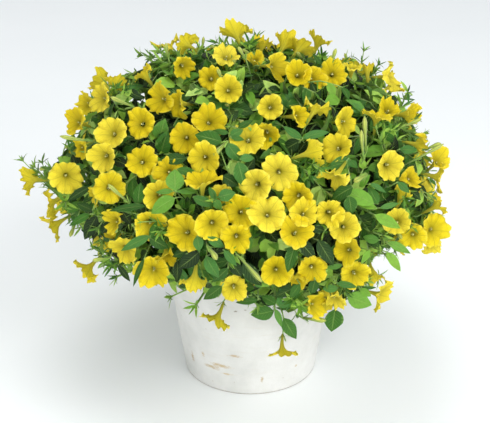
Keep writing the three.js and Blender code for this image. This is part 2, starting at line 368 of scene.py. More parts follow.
def petal_veins(add, out, angle, lobe, tint, width):
    """Fine veins: five midribs, and a fan of thinner ones that fork on their way to the edge."""
    span = add("Math", lobe, out, operation="MULTIPLY")
    rib = add("MapRange", span, 0.004, width, 1.0, 0.0)
    along = add("CombineXYZ", angle, out, tint)
    wander = add("TexNoise", {"Scale": 2.2, "Detail": 1.0, "Vector": along})
    turn = add("Math", wander, 3.0, operation="MULTIPLY")
    # about nine side veins to a lobe, each cell three times longer than wide
    row = add("Math", angle, 7.2, turn, operation="MULTIPLY_ADD")
    line = add("Math", out, 4.5, operation="MULTIPLY")
    cells = add("TexVoronoi", {"Vector": add("CombineXYZ", row, line), "Scale": 1.0},
                feature="DISTANCE_TO_EDGE", voronoi_dimensions="2D")
    fan = add("MapRange", cells, 0.0, 0.13, 0.6, 0.0)
    return add("Math", rib, fan, operation="MAXIMUM")


def petal_ground(add, out, angle, tint, stops, blotch, most, **grain):
    """A petal's colour along its way out, with soft blotches."""
    ground = add("ValToRGB", out, stops=stops)
    along = add("CombineXYZ", angle, out, tint)
    patches = add("TexNoise", {"Detail": 3.0, "Vector": along, **grain})
    mottle = add("MapRange", patches, 0.3, 0.7, 0.0, most)
    return add("Mix", {0: mottle, 6: ground, 7: linear(blotch)}, data_type="RGBA")


def petunia_petal_face(add):
    """Yellow petunia petal, the side that faces the light. Living tissue with a velvet of tiny
    domed cells, so it is matte and glows at a glancing angle; the throat is dark olive, darkened
    further by painted shade down the tube, the rim is paler with a painted highlight, and painted
    shade darkens the seams between the lobes."""
    out, angle, lobe, tint = petal_places(add)
    veins = petal_veins(add, out, angle, lobe, tint, 0.03)
    # from the tube's base out: the near-black start is painted shade over the throat's own olive,
    # and the pale last stop is a painted highlight of light coming through the rim
    base = petal_ground(add, out, angle, tint, [
        (0.0, "#3A3B07"), (0.32, "#56560A"), (0.41, "#857F0C"), (0.49, "#AEA20E"),
        (0.59, "#D2C00E"), (0.72, "#ECD710"), (0.87, "#F8E316"), (1.0, "#FCEE54"),
    ], "#E6CF0C", 0.35, Scale=3.0, Roughness=0.6)
    # painted shade in the creases, along the seams between the lobes
    crease = add("MapRange", lobe, 0.36, 0.5, 0.0, 0.6)
    crease_shaded = add("Mix", {0: crease, 6: (base, 2), 7: linear("#C8AE08")}, data_type="RGBA")
    fade = add("MapRange", out, 0.45, 1.0, 0.95, 0.4)
    share = add("Math", veins, fade, operation="MULTIPLY")
    veined = add("Mix", {0: share, 6: (crease_shaded, 2), 7: linear("#9C8F0C")}, data_type="RGBA")
    colour = add("HueSaturation", {
        "Hue": add("MapRange", tint, 0.0, 1.0, 0.492, 0.507),
        "Saturation": add("MapRange", tint, 0.5, 1.0, 1.0, 0.94),
        "Value": add("MapRange", tint, 0.0, 1.0, 0.86, 1.06), "Color": (veined, 2),
    })
    grain = add("TexNoise", {"Scale": 900.0, "Detail": 2.0})
    relief = add("Math", veins, -0.8, grain, operation="MULTIPLY_ADD")
    surface(add, colour, 0.6, 0.22, relief, 0.25, down=0.12, down_colour="#FFF08A",
            through=0.4, glow=linear("#FFF68C"))


def petunia_petal_back(add):
    """Yellow petunia petal, the side away from the light, with its tube. Paler and duller than
    the face, with green ribs that run up the tube and fan out into the lobes."""
    out, angle, lobe, tint = petal_places(add)
    veins = petal_veins(add, out, angle, lobe, tint, 0.045)
    base = petal_ground(add, out, angle, tint, [
        (0.0, "#93A23A"), (0.2, "#BFC046"), (0.42, "#E2D63C"), (0.62, "#F4E22E"), (1.0, "#F9E93E"),
    ], "#EAD62E", 0.4, Scale=2.6)
    share = add("Math", veins, 0.5, operation="MULTIPLY")
    veined = add("Mix", {0: share, 6: (base, 2), 7: linear("#8C8C2C")}, data_type="RGBA")
    shade = add("MapRange", tint, 0.0, 1.0, 0.9, 1.05)
    colour = add("HueSaturation", {"Value": shade, "Color": (veined, 2)})
    grain = add("TexNoise", {"Scale": 700.0, "Detail": 2.0})
    relief = add("Math", veins, 1.2, grain, operation="MULTIPLY_ADD")
    surface(add, colour, 0.66, 0.22, relief, 0.25, down=0.1, down_colour="#FFF5A0",
            through=0.44, glow=linear("#FBFA98"))


# A leaf's green by its tone, whose near-black end is painted shade for the leaves deep inside the
# mound, and what passes through it, which is more where it is pale
LEAF_GREENS_AND_SHADE = [
    (0.0, "#061802"), (0.2, "#173C06"), (0.36, "#356C18"), (0.48, "#447F36"), (0.6, "#74AA34"),
    (0.8, "#A6D04E"), (1.0, "#C8E680"),
]
LEAF_GLOW = [(0.0, "#334A10"), (0.3, "#8AA850"), (0.6, "#D0E68C"), (1.0, "#F2FCB8")]
LEAF_DOWN = "#DDEFB0"


def leaf_parts(add, width):
    """A leaf's veins, which are its midrib and pairs of side veins that curve towards its tip,
    then its green and its glow."""
    split = mark(add)
    across = add("Math", (split, 0), operation="ABSOLUTE")
    rib = add("MapRange", across, 0.02, width, 1.0, 0.0)
    bend = add("Math", across, 0.8, operation="POWER")
    lean = add("Math", bend, -0.3, (split, 1), operation="MULTIPLY_ADD")
    # seven pairs of side veins on a leaf, 5 to 6 mm apart
    pair = add("Math", lean, 7.5, operation="MULTIPLY")
    near = add("Math", pair, 0.5, operation="PINGPONG")
    side = add("MapRange", near, 0.02, 0.11, 0.75, 0.0)
    fade = add("MapRange", across, 0.35, 0.95, 1.0, 0.0)
    faded = add("Math", side, fade, operation="MULTIPLY")
    return (
        add("Math", rib, faded, operation="MAXIMUM"),
        add("ValToRGB", (split, 2), stops=LEAF_GREENS_AND_SHADE),
        add("ValToRGB", (split, 2), stops=LEAF_GLOW),
    )


def petunia_leaf_face(add):
    """Petunia leaf, upper side: soft green tissue under a short sticky down, which gives a satin
    gloss and a bluish bloom. The veins are sunk, a little paler than the blade."""
    veins, ground, glow = leaf_parts(add, 0.1)
    clouds = add("TexNoise", {"Scale": 55.0, "Detail": 4.0, "Roughness": 0.6})
    mottle = add("MapRange", clouds, 0.3, 0.7, 0.84, 1.16)
    blade = add("HueSaturation", {"Value": mottle, "Color": ground})
    share = add("Math", veins, 0.42, operation="MULTIPLY")
    colour = add("Mix", {0: share, 6: blade, 7: linear("#A5C768")}, data_type="RGBA")
    puckers = add("TexNoise", {"Scale": 220.0, "Detail": 2.0})
    relief = add("Math", veins, -1.4, puckers, operation="MULTIPLY_ADD")
    rough = add("MapRange", clouds, 0.3, 0.7, 0.42, 0.6)
    surface(add, (colour, 2), rough, 0.32, relief, 0.5, down=0.03, down_colour=LEAF_DOWN,
            through=0.32, glow=glow)


def petunia_leaf_underside(add):
    """Petunia leaf, underside: paler and duller than the upper side, with raised pale veins."""
    veins, ground, glow = leaf_parts(add, 0.14)
    clouds = add("TexNoise", {"Scale": 70.0, "Detail": 3.0})
    mottle = add("MapRange", clouds, 0.3, 0.7, 0.35, 0.55)
    blade = add("Mix", {0: mottle, 6: ground, 7: linear("#93B862")}, data_type="RGBA")
    share = add("Math", veins, 0.5, operation="MULTIPLY")
    colour = add("Mix", {0: share, 6: (blade, 2), 7: linear("#BDD68C")}, data_type="RGBA")
    down = add("TexNoise", {"Scale": 420.0, "Detail": 2.0})
    relief = add("Math", veins, 1.6, down, operation="MULTIPLY_ADD")
    surface(add, (colour, 2), 0.7, 0.25, relief, 0.4, down=0.08, down_colour=LEAF_DOWN,
            through=0.32, glow=glow)


def petunia_stem(add):
    """Young petunia stem: juicy green skin with fine ribs along it and a short down, lighter
    towards the tips and browner at the old wood."""
    split = mark(add)
    ground = add("ValToRGB", (split, 2), stops=[
        (0.0, "#6A6A34"), (0.3, "#5B7A2E"), (0.7, "#6F973C"), (1.0, "#9DBB63")])
    streaks = add("TexNoise", {"Scale": 160.0, "Detail": 3.0})
    mottle = add("MapRange", streaks, 0.3, 0.7, 0.8, 1.18)
    colour = add("HueSaturation", {"Value": mottle, "Color": ground})
    ribs = add("Math", (split, 0), 5 * TURN, operation="MULTIPLY")
    ridge = add("Math", ribs, operation="SINE")
    relief = add("Math", ridge, 0.5, streaks, operation="MULTIPLY_ADD")
    surface(add, colour, 0.5, 0.4, relief, 0.3, 0.7, down=0.25)


def pistil_wax(add):
    """Stigma and pollen sacs: waxy pale yellow-green tissue with a fine grain of pollen."""
    grain = add("TexNoise", {"Scale": 900.0, "Detail": 2.0})
    colour = add("ValToRGB", grain, stops=[(0.35, "#C9C66A"), (0.65, "#EDEBB4")])
    surface(add, colour, 0.35, 0.5, grain, 0.2, 0.6)


def petunia_bud(add):
    """Closed petunia bud: pleated young petal, pale green with greener ribs along it."""
    split = mark(add)
    ground = add("ValToRGB", (split, 1), stops=[
        (0.0, "#7E9C44"), (0.5, "#A9B857"), (0.8, "#C6CB62"), (1.0, "#B9C25A")])
    lobes = add("Math", (split, 0), 5 * TURN, operation="MULTIPLY")
    pleat = add("Math", lobes, operation="COSINE")
    rib = add("MapRange", pleat, 0.2, 1.0, 0.0, 0.7)
    colour = add("Mix", {0: rib, 6: ground, 7: linear("#5F8232")}, data_type="RGBA")
    down = add("TexNoise", {"Scale": 500.0, "Detail": 2.0})
    relief = add("Math", pleat, -0.6, down, operation="MULTIPLY_ADD")
    surface(add, (colour, 2), 0.6, 0.35, relief, 0.3, down=0.3,
            through=0.25, glow=linear("#E4EE86"))


# Stains in the lime wash: bearing from the front in degrees, height, half width, half height and
# colour, on a wall with about the radius below
STAINS = [
    (-10.4, 159, 3.8, 2.4, "#776C5A"), (-4.0, 163, 3.2, 2.0, "#7F7462"),
    (-13, 74, 16, 3.2, "#B9A077"), (-25, 50, 26, 5.0, "#BFAA82"), (-33, 43, 20, 5.5, "#B8A47E"),
    (-55, 44, 5.0, 15, "#B09A74"), (9.2, 28, 3.6, 8, "#B8A57F"), (40, 40, 4, 3, "#C8B898"),
    (-41, 62, 4, 7, "#C0AC84"), (-20, 36, 14, 2.6, "#C4B088"),
]
STAINED_RADIUS = 112


def limewashed_clay(add):
    """Fired clay under a brushed coat of lime wash: chalky and matt, with the brush's streaks,
    grit under the coat, tan stains where the clay shows through and a worn foot."""
    place = (add("TexCoord"), 3)
    split = add("SeparateXYZ", place)
    back = add("Math", (split, 1), -1.0, operation="MULTIPLY")
    bearing = add("Math", (split, 0), back, operation="ARCTAN2")
    # brush streaks run round the pot, about 5 mm wide and 60 mm long
    swept = add("CombineXYZ", bearing, (split, 2))
    strokes_at = add("Mapping", {"Vector": swept, "Scale": (2.2, 190.0, 1.0)})
    strokes = add("TexNoise", {
        "Vector": strokes_at, "Scale": 1.0, "Detail": 4.0, "Roughness": 0.6})
    clouds = add("TexNoise", {
        "Vector": place, "Scale": 14.0, "Detail": 5.0, "Roughness": 0.6})
    grit = add("TexNoise", {"Vector": place, "Scale": 420.0, "Detail": 3.0})
    ground = add("ValToRGB", clouds, stops=[
        (0.32, "#C9CAC6"), (0.5, "#D5D5D1"), (0.7, "#DFDFDC")])
    thin = add("MapRange", strokes, 0.56, 0.74, 0.0, 0.35)
    colour = add("Mix", {0: thin, 6: ground, 7: linear("#CFC9BC")}, data_type="RGBA")
    torn_at = add("Mapping", {"Vector": place, "Scale": (1.0, 1.0, 3.4)})
    torn = add("TexNoise", {
        "Vector": torn_at, "Scale": 170.0, "Detail": 5.0, "Roughness": 0.7})
    for turn, height, wide, high, stain in STAINS:
        aside = add("Math", bearing, math.radians(turn), operation="SUBTRACT")
        u = add("Math", aside, STAINED_RADIUS / wide, operation="MULTIPLY")
        above = add("Math", (split, 2), height * MM, operation="SUBTRACT")
        v = add("Math", above, 1 / (high * MM), operation="MULTIPLY")
        away = add("VectorMath", add("CombineXYZ", u, v), operation="LENGTH")
        ragged = add("Math", torn, 2.4, (away, 1), operation="MULTIPLY_ADD")
        area = add("MapRange", ragged, 1.4, 1.95, 0.85, 0.0)
        colour = add("Mix", {0: area, 6: (colour, 2), 7: linear(stain)}, data_type="RGBA")
    specks = add("TexVoronoi", {"Vector": place, "Scale": 48.0})
    speck = add("MapRange", specks, 0.035, 0.06, 0.5, 0.0)
    spotted = add("Mix", {0: speck, 6: (colour, 2), 7: linear("#A89F90")}, data_type="RGBA")
    edge = add("Math", torn, 0.0035, (split, 2), operation="MULTIPLY_ADD")
    worn = add("MapRange", edge, 0.0024, 0.0042, 0.75, 0.0)
    finished = add("Mix", {0: worn, 6: (spotted, 2), 7: linear("#8C7E6C")}, data_type="RGBA")
    coarse = add("Math", strokes, 1.6, grit, operation="MULTIPLY_ADD")
    surface(add, (finished, 2), 0.86, 0.25, coarse, 0.35, 0.6)


def potting_mix(add):
    """Damp peat and bark compost: dark brown crumbs with light bits of bark and perlite."""
    place = (add("TexCoord"), 3)
    crumbs = add("TexNoise", {
        "Vector": place, "Scale": 240.0, "Detail": 5.0, "Roughness": 0.7})
    ground = add("ValToRGB", crumbs, stops=[
        (0.3, "#1F140D"), (0.5, "#35251A"), (0.7, "#5A4330")])
    bits = add("TexVoronoi", {"Vector": place, "Scale": 190.0})
    light = add("MapRange", bits, 0.1, 0.16, 0.8, 0.0)
    rare = add("TexNoise", {"Vector": place, "Scale": 60.0})
    some = add("MapRange", rare, 0.55, 0.62, 0.0, 1.0)
    share = add("Math", light, some, operation="MULTIPLY")
    colour = add("Mix", {0: share, 6: ground, 7: linear("#B9AE98")}, data_type="RGBA")
    surface(add, (colour, 2), 0.95, 0.2, crumbs, 2.0, 0.9)


def woody_crown(add):
    """Old petunia crown: brown-green bark, dry, split along its length."""
    drawn = add("Mapping", {"Vector": (add("TexCoord"), 3), "Scale": (1.0, 1.0, 0.2)})
    bark = add("TexNoise", {
        "Vector": drawn, "Scale": 260.0, "Detail": 4.0, "Roughness": 0.65})
    colour = add("ValToRGB", bark, stops=[
        (0.3, "#3D3A22"), (0.55, "#6B6A3C"), (0.75, "#8D8A58")])
    surface(add, colour, 0.8, 0.3, bark, 1.0, 0.9)


def painted_floor(add):
    """Studio floor: smooth board painted pale grey, matt, with faint roller marks."""
    place = (add("TexCoord"), 3)
    roller = add("TexNoise", {"Vector": place, "Scale": 1.4, "Detail": 3.0})
    colour = add("ValToRGB", roller, stops=[(0.3, "#F1F4F5"), (0.7, "#F5F7F8")])
    surface(add, colour, 0.85, 0.15)


PETAL_FACE, PETAL_BACK, LEAF_FACE, LEAF_UNDERSIDE, STEM_SKIN, PISTIL, BUD_SKIN = map(material, (
    petunia_petal_face, petunia_petal_back, petunia_leaf_face, petunia_leaf_underside,
    petunia_stem, pistil_wax, petunia_bud,
))
# Each kind of piece has its finishes in this order, and its parts name them by number
FLOWER_FINISHES = (PETAL_FACE, PETAL_BACK, LEAF_FACE, LEAF_UNDERSIDE, STEM_SKIN, PISTIL)
FACE, BACK, GREEN, UNDER, STALK, WAX = range(6)
SHOOT_FINISHES = (LEAF_FACE, LEAF_UNDERSIDE, STEM_SKIN, BUD_SKIN)
LEAF_SKINS = (0, 1)
SHOOT_STEM = 2
BUD_FINISH = 3


# Mesh building


class Piece:
    """The points, faces and finishes of one piece, collected part by part in millimetres. room is
    the area of the bake's map for parts with no region of their own: left, low, width, height."""

    def __init__(self, finishes, room=(0.0, 0.0, 1.0, 1.0)):
        self.finishes = finishes
        self.room = room
        self.parts = []
        self.count = 0

    def put(self, points, marks, skins, rim=None, region=None):
        """marks is what the materials read at each point, skins lists faces, their corners' spots
        in the unit square and their finish, and rim says which points lie on a sharp edge."""
        rim = np.zeros(len(points), bool) if rim is None else rim
        skins = [(np.asarray(faces) + self.count, spots, finish) for faces, spots, finish in skins]
        points, marks = np.asarray(points, float), np.asarray(marks, float)
        self.parts.append((points, marks, skins, rim, region))
        self.count += len(points)

    def regions(self):
        """Each part's own region of the bake's map, or its cell in the room that is left."""
        x, y, wide, high = self.room
        free = sum(part[4] is None for part in self.parts)
        columns = max(1, math.ceil(math.sqrt(free * wide / high)))
        rows = max(1, math.ceil(free / columns))
        cell = 0
        for part in self.parts:
            if part[4] is not None:
                yield part[4]
                continue
            column, row = cell % columns, cell // columns
            cell += 1
            left, low = x + wide * (column + 0.06) / columns, y + high * (row + 0.06) / rows
            yield left, low, 0.88 * wide / columns, 0.88 * high / rows

    def made(self, name, slot, *nodes):
        """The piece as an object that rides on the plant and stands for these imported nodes."""
        corners, totals, numbers, spots = [], [], [], []
        for (_, _, skins, _, _), (left, low, across, up) in zip(self.parts, self.regions()):
            for faces, places, number in skins:
                corners.append(faces.ravel())
                totals.append(np.full(len(faces), faces.shape[1]))
                numbers.append(np.full(len(faces), number))
                spots.append(np.asarray(places).reshape(-1, 2) * (across, up) + (left, low))
        corners, totals = np.concatenate(corners), np.concatenate(totals)
        mesh = bpy.data.meshes.new(name)
        mesh.vertices.add(self.count)
        mesh.vertices.foreach_set("co", (np.concatenate([p[0] for p in self.parts]) * MM).ravel())
        mesh.loops.add(len(corners))
        mesh.loops.foreach_set("vertex_index", corners)
        mesh.polygons.add(len(totals))
        mesh.polygons.foreach_set("loop_start", np.cumsum(totals) - totals)
        mesh.polygons.foreach_set("material_index", np.concatenate(numbers))
        mesh.polygons.foreach_set("use_smooth", np.ones(len(totals), bool))
        mesh.update(calc_edges=True)
        ends = np.zeros(len(mesh.edges) * 2, np.int64)
        mesh.edges.foreach_get("vertices", ends)
        rim = np.concatenate([part[3] for part in self.parts])
        sharp = mesh.attributes.new("sharp_edge", "BOOLEAN", "EDGE")
        sharp.data.foreach_set("value", rim[ends].reshape(-1, 2).all(1))
        marks = mesh.attributes.new("mark", "FLOAT_VECTOR", "POINT")
        marks.data.foreach_set("vector", np.concatenate([p[1] for p in self.parts]).ravel())
        mesh.uv_layers.new(name="OFBake").uv.foreach_set("vector", np.concatenate(spots).ravel())
        for finish in self.finishes:
            mesh.materials.append(finish)
        return plant_piece(name, mesh, slot, *nodes)


def plant_piece(name, mesh, slot, *nodes):
    piece = bpy.data.objects.new(name, mesh)
    bpy.context.scene.collection.objects.link(piece)
    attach(piece, "root")
    if nodes:
        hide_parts(*nodes)
    return piece


def grid_faces(rows, columns, start=0, closed=False):
    """Quads between rows of points; a closed grid joins its last column to its first."""
    across = np.arange(columns if closed else columns - 1)
    r, c = np.meshgrid(np.arange(rows - 1), across, indexing="ij")
    after = (c + 1) % columns
    low, high = r * columns, (r + 1) * columns
    return start + np.stack([q.ravel() for q in (low + c, low + after, high + after, high + c)], 1)


def capped(rows, sides):
    """The quads of a closed tube of rows rings, and a fan at each end to one point more."""
    around = np.arange(sides)
    after, top = (around + 1) % sides, (rows - 1) * sides
    low = np.stack([after, around, np.full(sides, rows * sides)], 1)
    high = np.stack([top + around, top + after, np.full(sides, rows * sides + 1)], 1)
    return grid_faces(rows, sides, closed=True), low, high


def circle(angle, radius, height):
    """Points round the Z axis at these angles."""
    return np.stack([
        radius * np.cos(angle), radius * np.sin(angle), np.broadcast_to(height, len(angle))], 1)


def ring_spots(shares, sides):
    """The corners of a tube's quads, unrolled into the unit square."""
    around = np.arange(sides)
    spots = np.zeros((len(shares) - 1, sides, 4, 2))
    spots[..., 0] = np.stack([around, around + 1, around + 1, around], 1) / sides
    spots[..., :2, 1] = shares[:-1, None, None]
    spots[..., 2:, 1] = shares[1:, None, None]
    return spots.reshape(-1, 4, 2)


def tube(piece, path, radii, sides, shade, finish, pleats=0.0):
    """A round stem or bud along path, closed at both ends. shade is what its colour follows."""
    path = np.asarray(path, float)
    rows = len(path)
    heading = np.gradient(path, axis=0)
    heading /= np.maximum(np.linalg.norm(heading, axis=1), 1e-9)[:, None]
    side = unit(np.cross(heading[0], (0.31, 0.83, 0.46)))
    turns = np.arange(sides) * TURN / sides
    swell = 1 + pleats * np.cos(5 * turns)[:, None]
    points = []
    for place, ahead, radius in zip(path, heading, np.broadcast_to(radii, rows)):
        side = unit(side - ahead * (side @ ahead))
        round_it = np.cos(turns)[:, None] * side + np.sin(turns)[:, None] * np.cross(ahead, side)
        points.append(place + radius * swell * round_it)
    points += [
        [path[0] - heading[0] * 0.4 * np.broadcast_to(radii, rows)[0]],
        [path[-1] + heading[-1] * 0.6 * np.broadcast_to(radii, rows)[-1]],
    ]
    share = np.linspace(0, 1, rows)
    shades = np.broadcast_to(shade, rows)
    marks = np.stack([
        np.append(np.tile(turns / TURN, rows), (0, 0)),
        np.append(np.repeat(share, sides), (0, 1)),
        np.append(np.repeat(shades, sides), (shades[0], shades[-1])),
    ], 1)
    side_faces, low, high = capped(rows, sides)
    cap_spots = np.array([[(1, 0.04), (0, 0.04), (0.5, 0)], [(0, 0.96), (1, 0.96), (0.5, 1)]])
    piece.put(np.concatenate(points), marks, [
        (side_faces, ring_spots(0.04 + 0.92 * share, sides), finish),
        (np.concatenate([low, high]), np.repeat(cap_spots, sides, axis=0), finish),
    ])


def branch(piece, curve, steps, radii, sides, shades, finish=SHOOT_STEM):
    """A stem along curve, whose radius and shade go from the first value to the second."""
    tube(piece, curve.places(steps), np.linspace(*radii, steps + 1), sides,
         np.linspace(*shades, steps + 1), finish)


def lump(piece, centre, radii, axes, finish, sides=6):
    """A small rounded grain."""
    rises = np.radians((-50, 0, 50))
    path = [np.asarray(centre) + axes[2] * radii[2] * math.sin(rise) for rise in rises]
    tube(piece, path, [radii[0] * math.cos(rise) for rise in rises], sides, 0.5, finish)


def blade(piece, axes, foot, length, width, draws, shade, finishes, rows=7, columns=6,
          fold=0.22, arch=0.5, ruffle=0.05, widest=0.42, thickness=0.5, bend=0.0):
    """A leaf, bract or sepal: a thin closed blade that grows along axes[0] from foot, with its
    upper side to axes[2]. arch is how far it droops over its length, in radians."""
    v = np.linspace(0, 1, rows + 1)
    # broadest at widest, drawn out to a fine tip and tapered into a short stalk
    outline = np.sin(math.pi * v ** (math.log(0.5) / math.log(widest))) ** 0.85 * (1 - 0.12 * v)
    half = np.maximum(outline * width / 2, 0.35 + 0.004 * length)
    half[-1] = 0.15
    droop = arch * v
    middle = (droop[1:] + droop[:-1]) / 2
    x = np.concatenate(([0], np.cumsum(np.cos(middle)))) * length / rows
    z = -np.concatenate(([0], np.cumsum(np.sin(middle)))) * length / rows
    U, V = np.meshgrid(np.linspace(-1, 1, columns + 1), v)
    phase = draws.uniform(0, TURN, 2)
    wave = U**2 * np.sin(TURN * 1.7 * V + np.where(U > 0, phase[0], phase[1]))
    lift = half[:, None] * (fold * np.abs(U) ** 1.3 + 2 * ruffle * wave)
    points = np.stack([
        x[:, None] + np.sin(droop)[:, None] * lift,
        U * half[:, None] * (1 - 0.25 * fold) + (bend * length * v**2)[:, None],
        z[:, None] + np.cos(droop)[:, None] * lift,
    ], -1)
    edge = np.ones(U.shape, bool)
    edge[1:-1, 1:-1] = False
    body = (thickness / 2 * (1 - U**2) * ~edge)[..., None] * np.array((0, 0, 1.0))
    kept = np.flatnonzero(~edge.ravel())
    under = np.arange(U.size)
    under[kept] = U.size + np.arange(len(kept))
    quads = grid_faces(rows + 1, columns + 1)
    spots = np.stack([0.235 * (U.ravel() + 1), V.ravel()], 1)
    marks = np.stack([U.ravel(), V.ravel(), np.full(U.size, shade)], 1)
    whole = np.concatenate([(points + body).reshape(-1, 3), (points - body).reshape(-1, 3)[kept]])
    piece.put(
        whole @ axes + foot,
        np.concatenate([marks, marks[kept]]),
        [
            (quads[:, ::-1], spots[quads[:, ::-1]], finishes[0]),
            (under[quads], spots[quads] + (0.53, 0), finishes[1]),
        ],
        rim=np.concatenate([edge.ravel(), np.zeros(len(kept), bool)]),
    )


# Flower


# The corolla from its base to its edge: share of the way, radius in mm or share of the flower's
# radius where it is under 1, and depth below the throat's plane
COROLLA_PROFILE = np.array([
    (0.04, 1.2, -26), (0.14, 1.8, -22), (0.25, 2.2, -16), (0.35, 2.9, -10.5), (0.42, 4.0, -7.6),
    (0.48, 6.0, -5.6), (0.56, 0.37, -3.7), (0.65, 0.51, -2.1), (0.74, 0.65, -0.8),
    (0.83, 0.78, 0.1), (0.92, 0.90, 0.3), (1.0, 1.0, -0.5),
])
# Where the rows of the corolla's back lie, and how far it stands off the face in mm
OUTER_SHARES = np.array((0.0, 0.12, 0.26, 0.38, 0.47, 0.58, 0.7, 0.81, 0.91))
TUBE_SKIN = 0.45
# The discs of the bake's map that hold the face and the back: centre and radius
FACE_DISC = (0.31, 0.68, 0.3)
BACK_DISC = (0.81, 0.8, 0.18)


def limb_shape(angle, radius, draws, cup, curl, frill, fold):
    """How one flower's limb differs from the plain profile: its outline as a share of the radius,
    and a function of share and angle that gives how far the surface stands above it in mm."""
    phase = draws.uniform(0, TURN, 9)
    beats = draws.integers(7, 11)
    notch = draws.uniform(0.05, 0.16)
    sizes = draws.uniform(-0.12, 0.08, 5)
    petal = (angle / TURN * 5 + 0.5) % 5
    seam = np.abs(petal - np.round(petal)) * TURN / 5
    rib = TURN / 10 - seam
    lobe = 1 - np.exp(-((seam / 0.2) ** 2))
    bigger = np.interp((petal - 0.5) % 5, np.arange(-1, 7), np.resize(np.roll(sizes, 1), 8))
    outline = 1 - notch * (1 - lobe) + bigger
    outline += 0.022 * np.sin(beats * 2 * angle + phase[0]) + 0.04 * np.sin(3 * angle + phase[5])
    outline += 0.025 * np.sin((beats + 3) * angle + phase[8])
    outline -= 0.045 * np.exp(-((rib / 0.09) ** 2))
    crease = np.exp(-((seam / 0.12) ** 2))
    groove = np.exp(-((rib / 0.09) ** 2))
    waves = 0.6 * np.sin(beats * angle + phase[2]) + 0.5 * np.sin((beats + 7) * angle + phase[3])
    swing = np.sin(2 * angle + phase[1]) + 0.5 * np.sin(3 * angle + phase[4])
    turned = np.angle(np.exp(1j * (angle - phase[6])))
    flap = fold * radius * np.exp(-((turned / 0.55) ** 2))
    lean = draws.uniform(0, 0.22) * radius * np.cos(angle - phase[7])

    def stands(limb, out):
        return (
            cup * radius * out**1.5 - curl * radius * out**4 + lean * out + flap * out**2.5
            + limb * out * (2.3 * lobe - 4.0 * crease - 1.8 * groove)
            + frill * (2.6 * waves * out**4 + 2.6 * swing * out**2)
        )

    return outline, stands


def corolla(piece, stand, face, draws, across, cup=0.0, curl=0.0, frill=1.0, fold=0.0, tint=0.5,
            lobes=10):
    """The five fused petals: a narrow tube that opens into a broad, shallow-lobed trumpet."""
    sides = 5 * lobes
    angle = np.arange(sides) * TURN / sides
    radius = across / 2
    outline, stands = limb_shape(angle, radius, draws, cup, curl, frill, fold)
    bow = draws.uniform(-2.0, 2.0)
    profile_radii = np.where(COROLLA_PROFILE[:, 1] > 1, COROLLA_PROFILE[:, 1],
                             COROLLA_PROFILE[:, 1] * radius)
    profile_radii[-1] = radius

    def surface(shares, skin):
        r = np.interp(shares, COROLLA_PROFILE[:, 0], profile_radii)[:, None]
        z = np.interp(shares, COROLLA_PROFILE[:, 0], COROLLA_PROFILE[:, 2])[:, None]
        out = np.clip(r / radius, 0, 1)
        limb = np.clip((shares[:, None] - 0.42) / 0.58, 0, 1)
        body = skin * (1 - np.clip((shares[:, None] - 0.5) / 0.5, 0, 1) ** 3)
        level = np.clip(limb * 1.6, 0, 1)
        reach = r * (1 + (outline - 1) * limb**2) * (1 - 0.3 * cup * out**2) + body * (1 - level)
        height = z + stands(limb, out) * (limb > 0) - body * level
        sway = bow * np.sin(math.pi * np.clip(-z / TUBE_LENGTH, 0, 1))
        return np.stack([reach * np.cos(angle) + sway, reach * np.sin(angle), height], -1)

    inner_shares = COROLLA_PROFILE[:, 0]
    inner = surface(inner_shares, 0.0)
    outer = surface(OUTER_SHARES, TUBE_SKIN)
    outer[0, :, 2] = -TUBE_LENGTH + 0.5
    rows_in, rows_out = len(inner_shares), len(OUTER_SHARES)
    count_in, count_out = inner.size // 3, outer.size // 3
    points = np.concatenate([
        inner.reshape(-1, 3), outer.reshape(-1, 3), [(0, 0, -26.5)], [(0, 0, -TUBE_LENGTH)],
    ])
    marks = np.concatenate([
        np.stack([share * np.cos(angle), share * np.sin(angle), np.full(sides, tint)], 1)
        for share in (*inner_shares, *OUTER_SHARES)
    ] + [np.array([(0, 0, tint)] * 2)])
    around = np.arange(sides)
    after = (around + 1) % sides
    inside = grid_faces(rows_in, sides, closed=True)[:, ::-1]
    outside = grid_faces(rows_out, sides, count_in, closed=True)
    last_out, last_in = count_in + (rows_out - 1) * sides, (rows_in - 1) * sides
    joint = np.stack([last_out + around, last_out + after, last_in + after, last_in + around], 1)
    outside = np.concatenate([outside, joint])
    inner_floor = np.stack([around, after, np.full(sides, count_in + count_out)], 1)
    outer_floor = np.stack([
        count_in + after, count_in + around, np.full(sides, count_in + count_out + 1)], 1)

    def spots(faces, disc):
        return marks[faces][..., :2] * disc[2] + disc[:2]

    rim = np.zeros(len(points), bool)
    rim[last_in : last_in + sides] = True
    piece.put(
        points @ stand + face, marks,
        [
            (inside, spots(inside, FACE_DISC), FACE),
            (inner_floor, spots(inner_floor, FACE_DISC), FACE),
            (outside, spots(outside, BACK_DISC), BACK),
            (outer_floor, spots(outer_floor, BACK_DISC), BACK),
        ],
        rim=rim, region=(0.0, 0.0, 1.0, 1.0),
    )


def leaning(stand, turn, lean):
    """The way out at turn, and the axes of a blade that leans out that way from stand's axis."""
    ray = np.array((math.cos(turn), math.sin(turn), 0))
    along = ray * math.sin(lean) + np.array((0, 0, math.cos(lean)))
    upper = np.array((0, 0, math.sin(lean))) - ray * math.cos(lean)
    return ray, frame_along(along @ stand, upper @ stand)


def calyx(piece, stand, foot, draws, skins, size=13.0, spread=0.9):
    """Five narrow green sepals that spread from the tube's base."""
    for i in range(5):
        turn = TURN * (i + draws.uniform(-0.12, 0.12)) / 5
        ray, axes = leaning(stand, turn, spread * draws.uniform(0.6, 1.25))
        blade(piece, axes, foot + (ray * 1.4) @ stand, size * draws.uniform(0.8, 1.2), 2.9, draws,
              draws.uniform(0.5, 0.95), skins, rows=4, columns=2, fold=0.1,
              arch=draws.uniform(0.0, 0.8), ruffle=0.0, widest=0.6)


